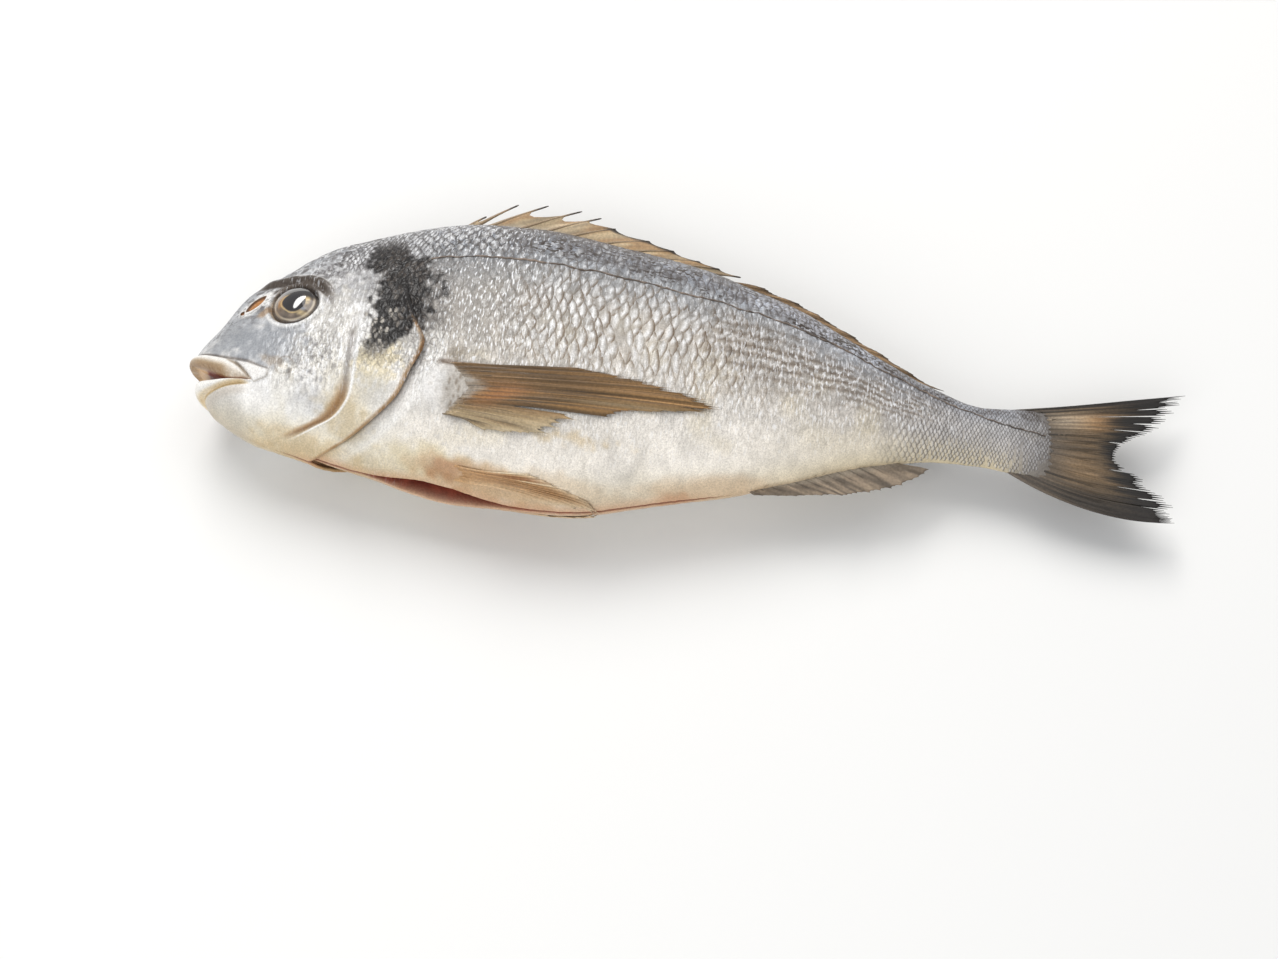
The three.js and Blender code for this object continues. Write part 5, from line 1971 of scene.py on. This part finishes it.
@dataclass
class LaidFin(Fin):
    """A fin that lies back on a flank."""

    flank: Flank = Flank.LEFT
    lift: tuple[float, float] = (0.9, 0.75)
    sunk: float = 0.0
    table: Curve = Curve([(0, 85, 0, 120, 0), (1, 85, -20, 120, -20)])

    def surface(self, share: Array, t: Array) -> tuple[Array, Array]:
        """Rays that follow the flank from a root to a tip, given as along and high."""
        root_x, root_y, tip_x, tip_y = np.moveaxis(self.table.at(share), -1, 0)
        along = root_x + (tip_x - root_x) * t
        high = root_y + (tip_y - root_y) * t - 0.8 * np.sin(math.pi * t) * (0.5 - share) * 2
        turn = self.fish.turn_at(along, high)
        normal = self.fish.outward(along, turn)
        sunk = self.sunk * (1 + 0.7 * bump(share - 0.45, 0.4))
        lift = self.lift[0] * (1 - t) + self.lift[1] * t - sunk * fall(t, 0, 0.16)
        lift = lift + 0.18 * np.sin(share * 70) * smooth(t, 0.1, 0.5)
        points = self.fish.flank(along, turn) + normal * lift[..., None]
        flip = self.flank.flip
        return points * flip, normal * flip


@dataclass
class BreastFin(LaidFin):
    """The long breast fin, laid back along the flank, with a lower lobe that stands apart."""

    lobe: int = 9
    table: Curve = Curve([
        (0, 85, -2.6, 139, 0.6), (0.16, 86, -5.4, 155, -0.9), (0.32, 87, -8.2, 169, -3.5),
        (0.44, 88, -10.8, 177.5, -7.1), (0.54, 88.6, -12.8, 165, -10.2), (0.66, 89, -15, 146, -13.6),
        (0.72, 89, -16, 138, -17.8), (0.8, 89, -17.4, 131, -21.4), (0.88, 88.8, -18.6, 123, -23.8),
        (1, 88, -20, 103, -24.2),
    ])

    def ends(self, count: int) -> Array:
        """Whole rays end short here and there, and their twigs fray a little."""
        dice = np.random.default_rng(self.seed)
        rays = np.repeat(dice.random(self.rays), self.branches)
        rays[self.branches * 5:self.branches * 7] = 0.0
        frayed = self.fray * dice.random(count) ** 1.5
        frayed[self.branches * self.lobe:] *= 2.0
        return 1 - 0.12 * rays - frayed

    def web_ends(self, low: Array, part: Array, lengths: Array) -> Array:
        """A web that is torn open between the long rays and the lower lobe."""
        whole = super().web_ends(low, part, lengths)
        torn = whole * (1 - 0.5 * np.sin(math.pi * part) ** 0.4)
        return np.where(low + 1 == self.branches * self.lobe, torn, whole)

    def colour(self, share: Array, t: Array) -> Array:
        """Khaki brown, paler below, with an orange blush near the root."""
        streak = hairs(share, t, 44, 1.6, 71)
        hair = hairs(share, t, 90, 2.4, 73)
        broad = hairs(share, t, 12, 2, 72)
        paint = plain((108, 82, 51), share) * (1 + 0.22 * smooth(t, 0.45, 0.85))[..., None]
        paint = paint * (1 + 0.55 * streak + 0.45 * hair + 0.2 * broad)[..., None]
        paint = layered(paint, [
            ((78, 64, 50), 0.7 * fall(share, 0.05, 0.4) * smooth(streak, -0.05, 0.2)),
            ((172, 154, 122), 0.7 * smooth(share, 0.64, 0.84) * (1 + 0.8 * streak)),
            ((160, 142, 110), 0.5 * bump(share - 0.54, 0.1) * smooth(t, 0.4, 0.7)),
            ((184, 118, 68), 0.5 * bump(t - 0.24, 0.14) * bump(share - 0.55, 0.3)),
        ])
        speck = smooth(mottle(on_plane(share * 34, t * 90), 1, 74), 0.5, 0.7)
        scaled_root = 0.05 + 0.07 * bump(share - 0.42, 0.42)
        return layered(paint, [
            ((138, 126, 112), 0.95 * fall(t, scaled_root, scaled_root + 0.05)),
            ((204, 199, 192), 0.6 * speck * fall(t, scaled_root - 0.02, scaled_root + 0.05)),
            ((200, 186, 158), 0.6 * smooth(share, 0.68, 0.76) * smooth(t, 0.55, 0.95)),
        ])


@dataclass
class BellyFin(LaidFin):
    """A belly fin, folded back along the cut."""

    table: Curve = Curve([
        (0, 93, -33.6, 118.5, -34.4), (0.3, 93.4, -34.8, 130, -37.4), (0.6, 94, -36.2, 142, -40.6),
        (0.85, 94.6, -37.4, 134, -41.4), (1, 95.4, -38.4, 124, -41.7),
    ])

    def colour(self, share: Array, t: Array) -> Array:
        """Brown, with pale ridges along its upper edge and painted shade under them, fading into the belly
        below.
        """
        streak = hairs(share, t, 40, 2.5, 81)
        paint = plain((170, 130, 88), share) * (1 + 0.22 * streak)[..., None]
        return layered(paint, [
            # Painted shade under the upper ridge.
            ((146, 100, 66), 0.7 * bump(share - 0.2, 0.16) * smooth(t, 0.35, 0.7)),
            ((234, 219, 190), 0.9 * bump(share - 0.03, 0.1) * smooth(t, 0.1, 0.3)),
            ((224, 206, 172), 0.8 * bump(share - 0.3, 0.06) * smooth(t, 0.55, 0.7)),
            ((200, 172, 136), 0.8 * smooth(share, 0.55, 0.95)),
            ((208, 188, 158), 0.8 * smooth(t, 0.72, 0.98)),
            ((180, 142, 100), 0.8 * fall(t, 0.05, 0.3)),
        ])

    def twig_shade(self, share: Array) -> Array:
        """Twigs that hardly stand out."""
        return 0.94 + 0.1 * super().twig_shade(share)


@dataclass
class SideLine:
    """The dark line of pores along a flank."""

    fish: Fish
    flank: Flank
    start: float = 83.0
    end: float = 283.0
    colour: Colour = (100.0, 88.0, 78.0)

    def build(self, tree: Tree, finish: Material) -> Object:
        """Builds the line as a chain of short, half sunk tubes."""
        along = np.linspace(self.start, self.end, 600)
        wave = on_plane(along, along * 0)
        high = SIDE_LINE.one(along) + 0.9 * sway(wave, 6, 91) + 0.4 * sway(wave, 1.6, 92)
        turn = self.fish.turn_at(along, high)
        lift = 0.22 + 0.1 * np.sin(along * 2.0)
        points = self.fish.skin(along, turn) + self.fish.outward(along, turn) * lift[:, None]
        girth = (0.12 + 0.3 * mottle(wave, 1.6, 93)) * (1 - 0.4 * smooth(along, 200, self.end))
        edges = [(k, k + 1) for k in range(len(along) - 1)]
        made = make_object(self.flank.named("side_line"), lay_down(points * self.flank.flip), [], edges=edges)
        set_values(made.data, "girth", girth * MM)
        shade = 0.8 + 0.6 * mottle(wave, 3, 94)
        set_tint(made.data, np.array(self.colour) * shade[:, None])
        made = grow(made, tree, finish, {"Sides": 6})
        turn_out(made.data)
        settle(made)
        return made


# ---- the studio
@dataclass(frozen=True)
class Studio:
    """A plain pale floor, soft light, and the camera."""

    eye: tuple[float, float, float] = (0.0220225, -0.339704, 0.610959)
    azimuth: float = 6.5
    elevation: float = 63.2
    lens: float = 58.03
    floor: float = 3.0
    sky: float = 0.42

    def build(self) -> None:
        """Builds the studio."""
        floor = make_object(
            "floor", self.floor * np.array([(-1, -1, 0), (1, -1, 0), (1, 1, 0), (-1, 1, 0)]), [(0, 1, 2, 3)],
            FloorFinish().material(),
        )
        world = bpy.data.worlds.new("studio")
        world.use_nodes = True
        sky = world.node_tree.nodes["Background"].inputs
        sky["Color"].default_value = (0.93, 0.96, 1.0, 1.0)
        sky["Strength"].default_value = self.sky
        bpy.context.scene.world = world
        self.lamp("key", (-0.53, 0.95, 1.17), (1.45, 0.46), 15.0, WARM, roll=42.0)
        self.lamp("side", (0.42, 0.78, 1.25), (1.5, 1.1), 6.0, WARM)
        self.lamp("fill", (-0.4, -1.1, 0.75), (1.3, 1.3), 9.5, COOL)
        camera = bpy.data.cameras.new("camera")
        camera.lens = self.lens
        camera.sensor_width = 36.0
        placed = bpy.data.objects.new("camera", camera)
        turn, rise = math.radians(self.azimuth), math.radians(self.elevation)
        back = Vector((math.sin(turn) * math.cos(rise), -math.cos(turn) * math.cos(rise), math.sin(rise)))
        placed.matrix_world = Matrix.Translation(self.eye) @ back.to_track_quat("Z", "Y").to_matrix().to_4x4()
        bpy.context.scene.collection.objects.link(placed)
        bpy.context.scene.camera = placed
        bpy.context.scene.view_settings.view_transform = "Standard"

    def lamp(
        self,
        name: str,
        place: Sequence[float],
        size: tuple[float, float],
        power: float,
        colour: Colour,
        roll: float = 0.0,
    ) -> None:
        """A soft oval lamp, so wide and so tall, that looks at the fish and is rolled by so many degrees."""
        light = bpy.data.lights.new(name, "AREA")
        light.shape = "ELLIPSE"
        (light.size, light.size_y), light.energy, light.color = size, power, colour
        made = bpy.data.objects.new(name, light)
        at = Vector(place)
        aimed = (-at).to_track_quat("-Z", "Y").to_matrix().to_4x4()
        made.matrix_world = Matrix.Translation(at) @ aimed @ Matrix.Rotation(math.radians(roll), 4, "Z")
        bpy.context.scene.collection.objects.link(made)


def main() -> None:
    """Builds the fish, piece by piece, and the studio round it."""
    logging.basicConfig(level=logging.INFO, format="%(name)s: %(message)s")
    fish, coat = Fish(), Coat()
    wet_skin = SKIN.material()
    Skin(fish, coat).build(wet_skin)
    scales, rays = scale_tree(), ray_tree()
    scale_finish, web, ray, wet = SCALE.material(), WEB.material(), RAY.material(), EYE.material()
    for flank in Flank:
        ScaleCover(fish, coat, flank).build(scales, scale_finish)
        Eye(fish, flank).build(wet)
        Nostril(fish, "nostril_slit", flank, fish.nostril_slit, (4.6, 1.7)).build(wet_skin)
        Nostril(fish, "nostril_hole", flank, fish.nostril_hole, (1.0, 0.95)).build(wet_skin)
        SideLine(fish, flank).build(rays, ray)
        BreastFin(
            fish, flank.named("breast_fin"), rays=13, tears=0.1, web=(0.5, 0.16), girth=(0.3, 0.1),
            seed=5, flank=flank, sunk=1.3,
        ).build(rays, web, ray)
        BellyFin(
            fish, flank.named("belly_fin"), rays=5, branches=3, fray=0.05, seed=6, flank=flank,
            lift=(0.7, 0.35), sunk=1.5,
        ).build(rays, web, ray)
    for fin in (
        TailFin(
            fish, "tail_fin", rays=17, fray=0.12, notch=0.06, tears=0.12, web=(1.0, 0.3),
            girth=(0.6, 0.16), seed=7,
        ),
        BackFin(fish, "back_fin", branches=1, notch=0.0, web=(0.8, 0.3), girth=(0.8, 0.42), seed=8),
        FoldedFin(
            fish, "folded_fin", rays=13, branches=3, fray=0.12, web=(0.7, 0.25), girth=(0.4, 0.12), seed=9
        ),
        AnalFin(
            fish, "anal_fin", rays=14, branches=2, fray=0.08, web=(0.9, 0.25), girth=(0.45, 0.12), seed=10
        ),
    ):
        fin.build(rays, web, ray)
    Studio().build()


if __name__ == "__main__":
    main()
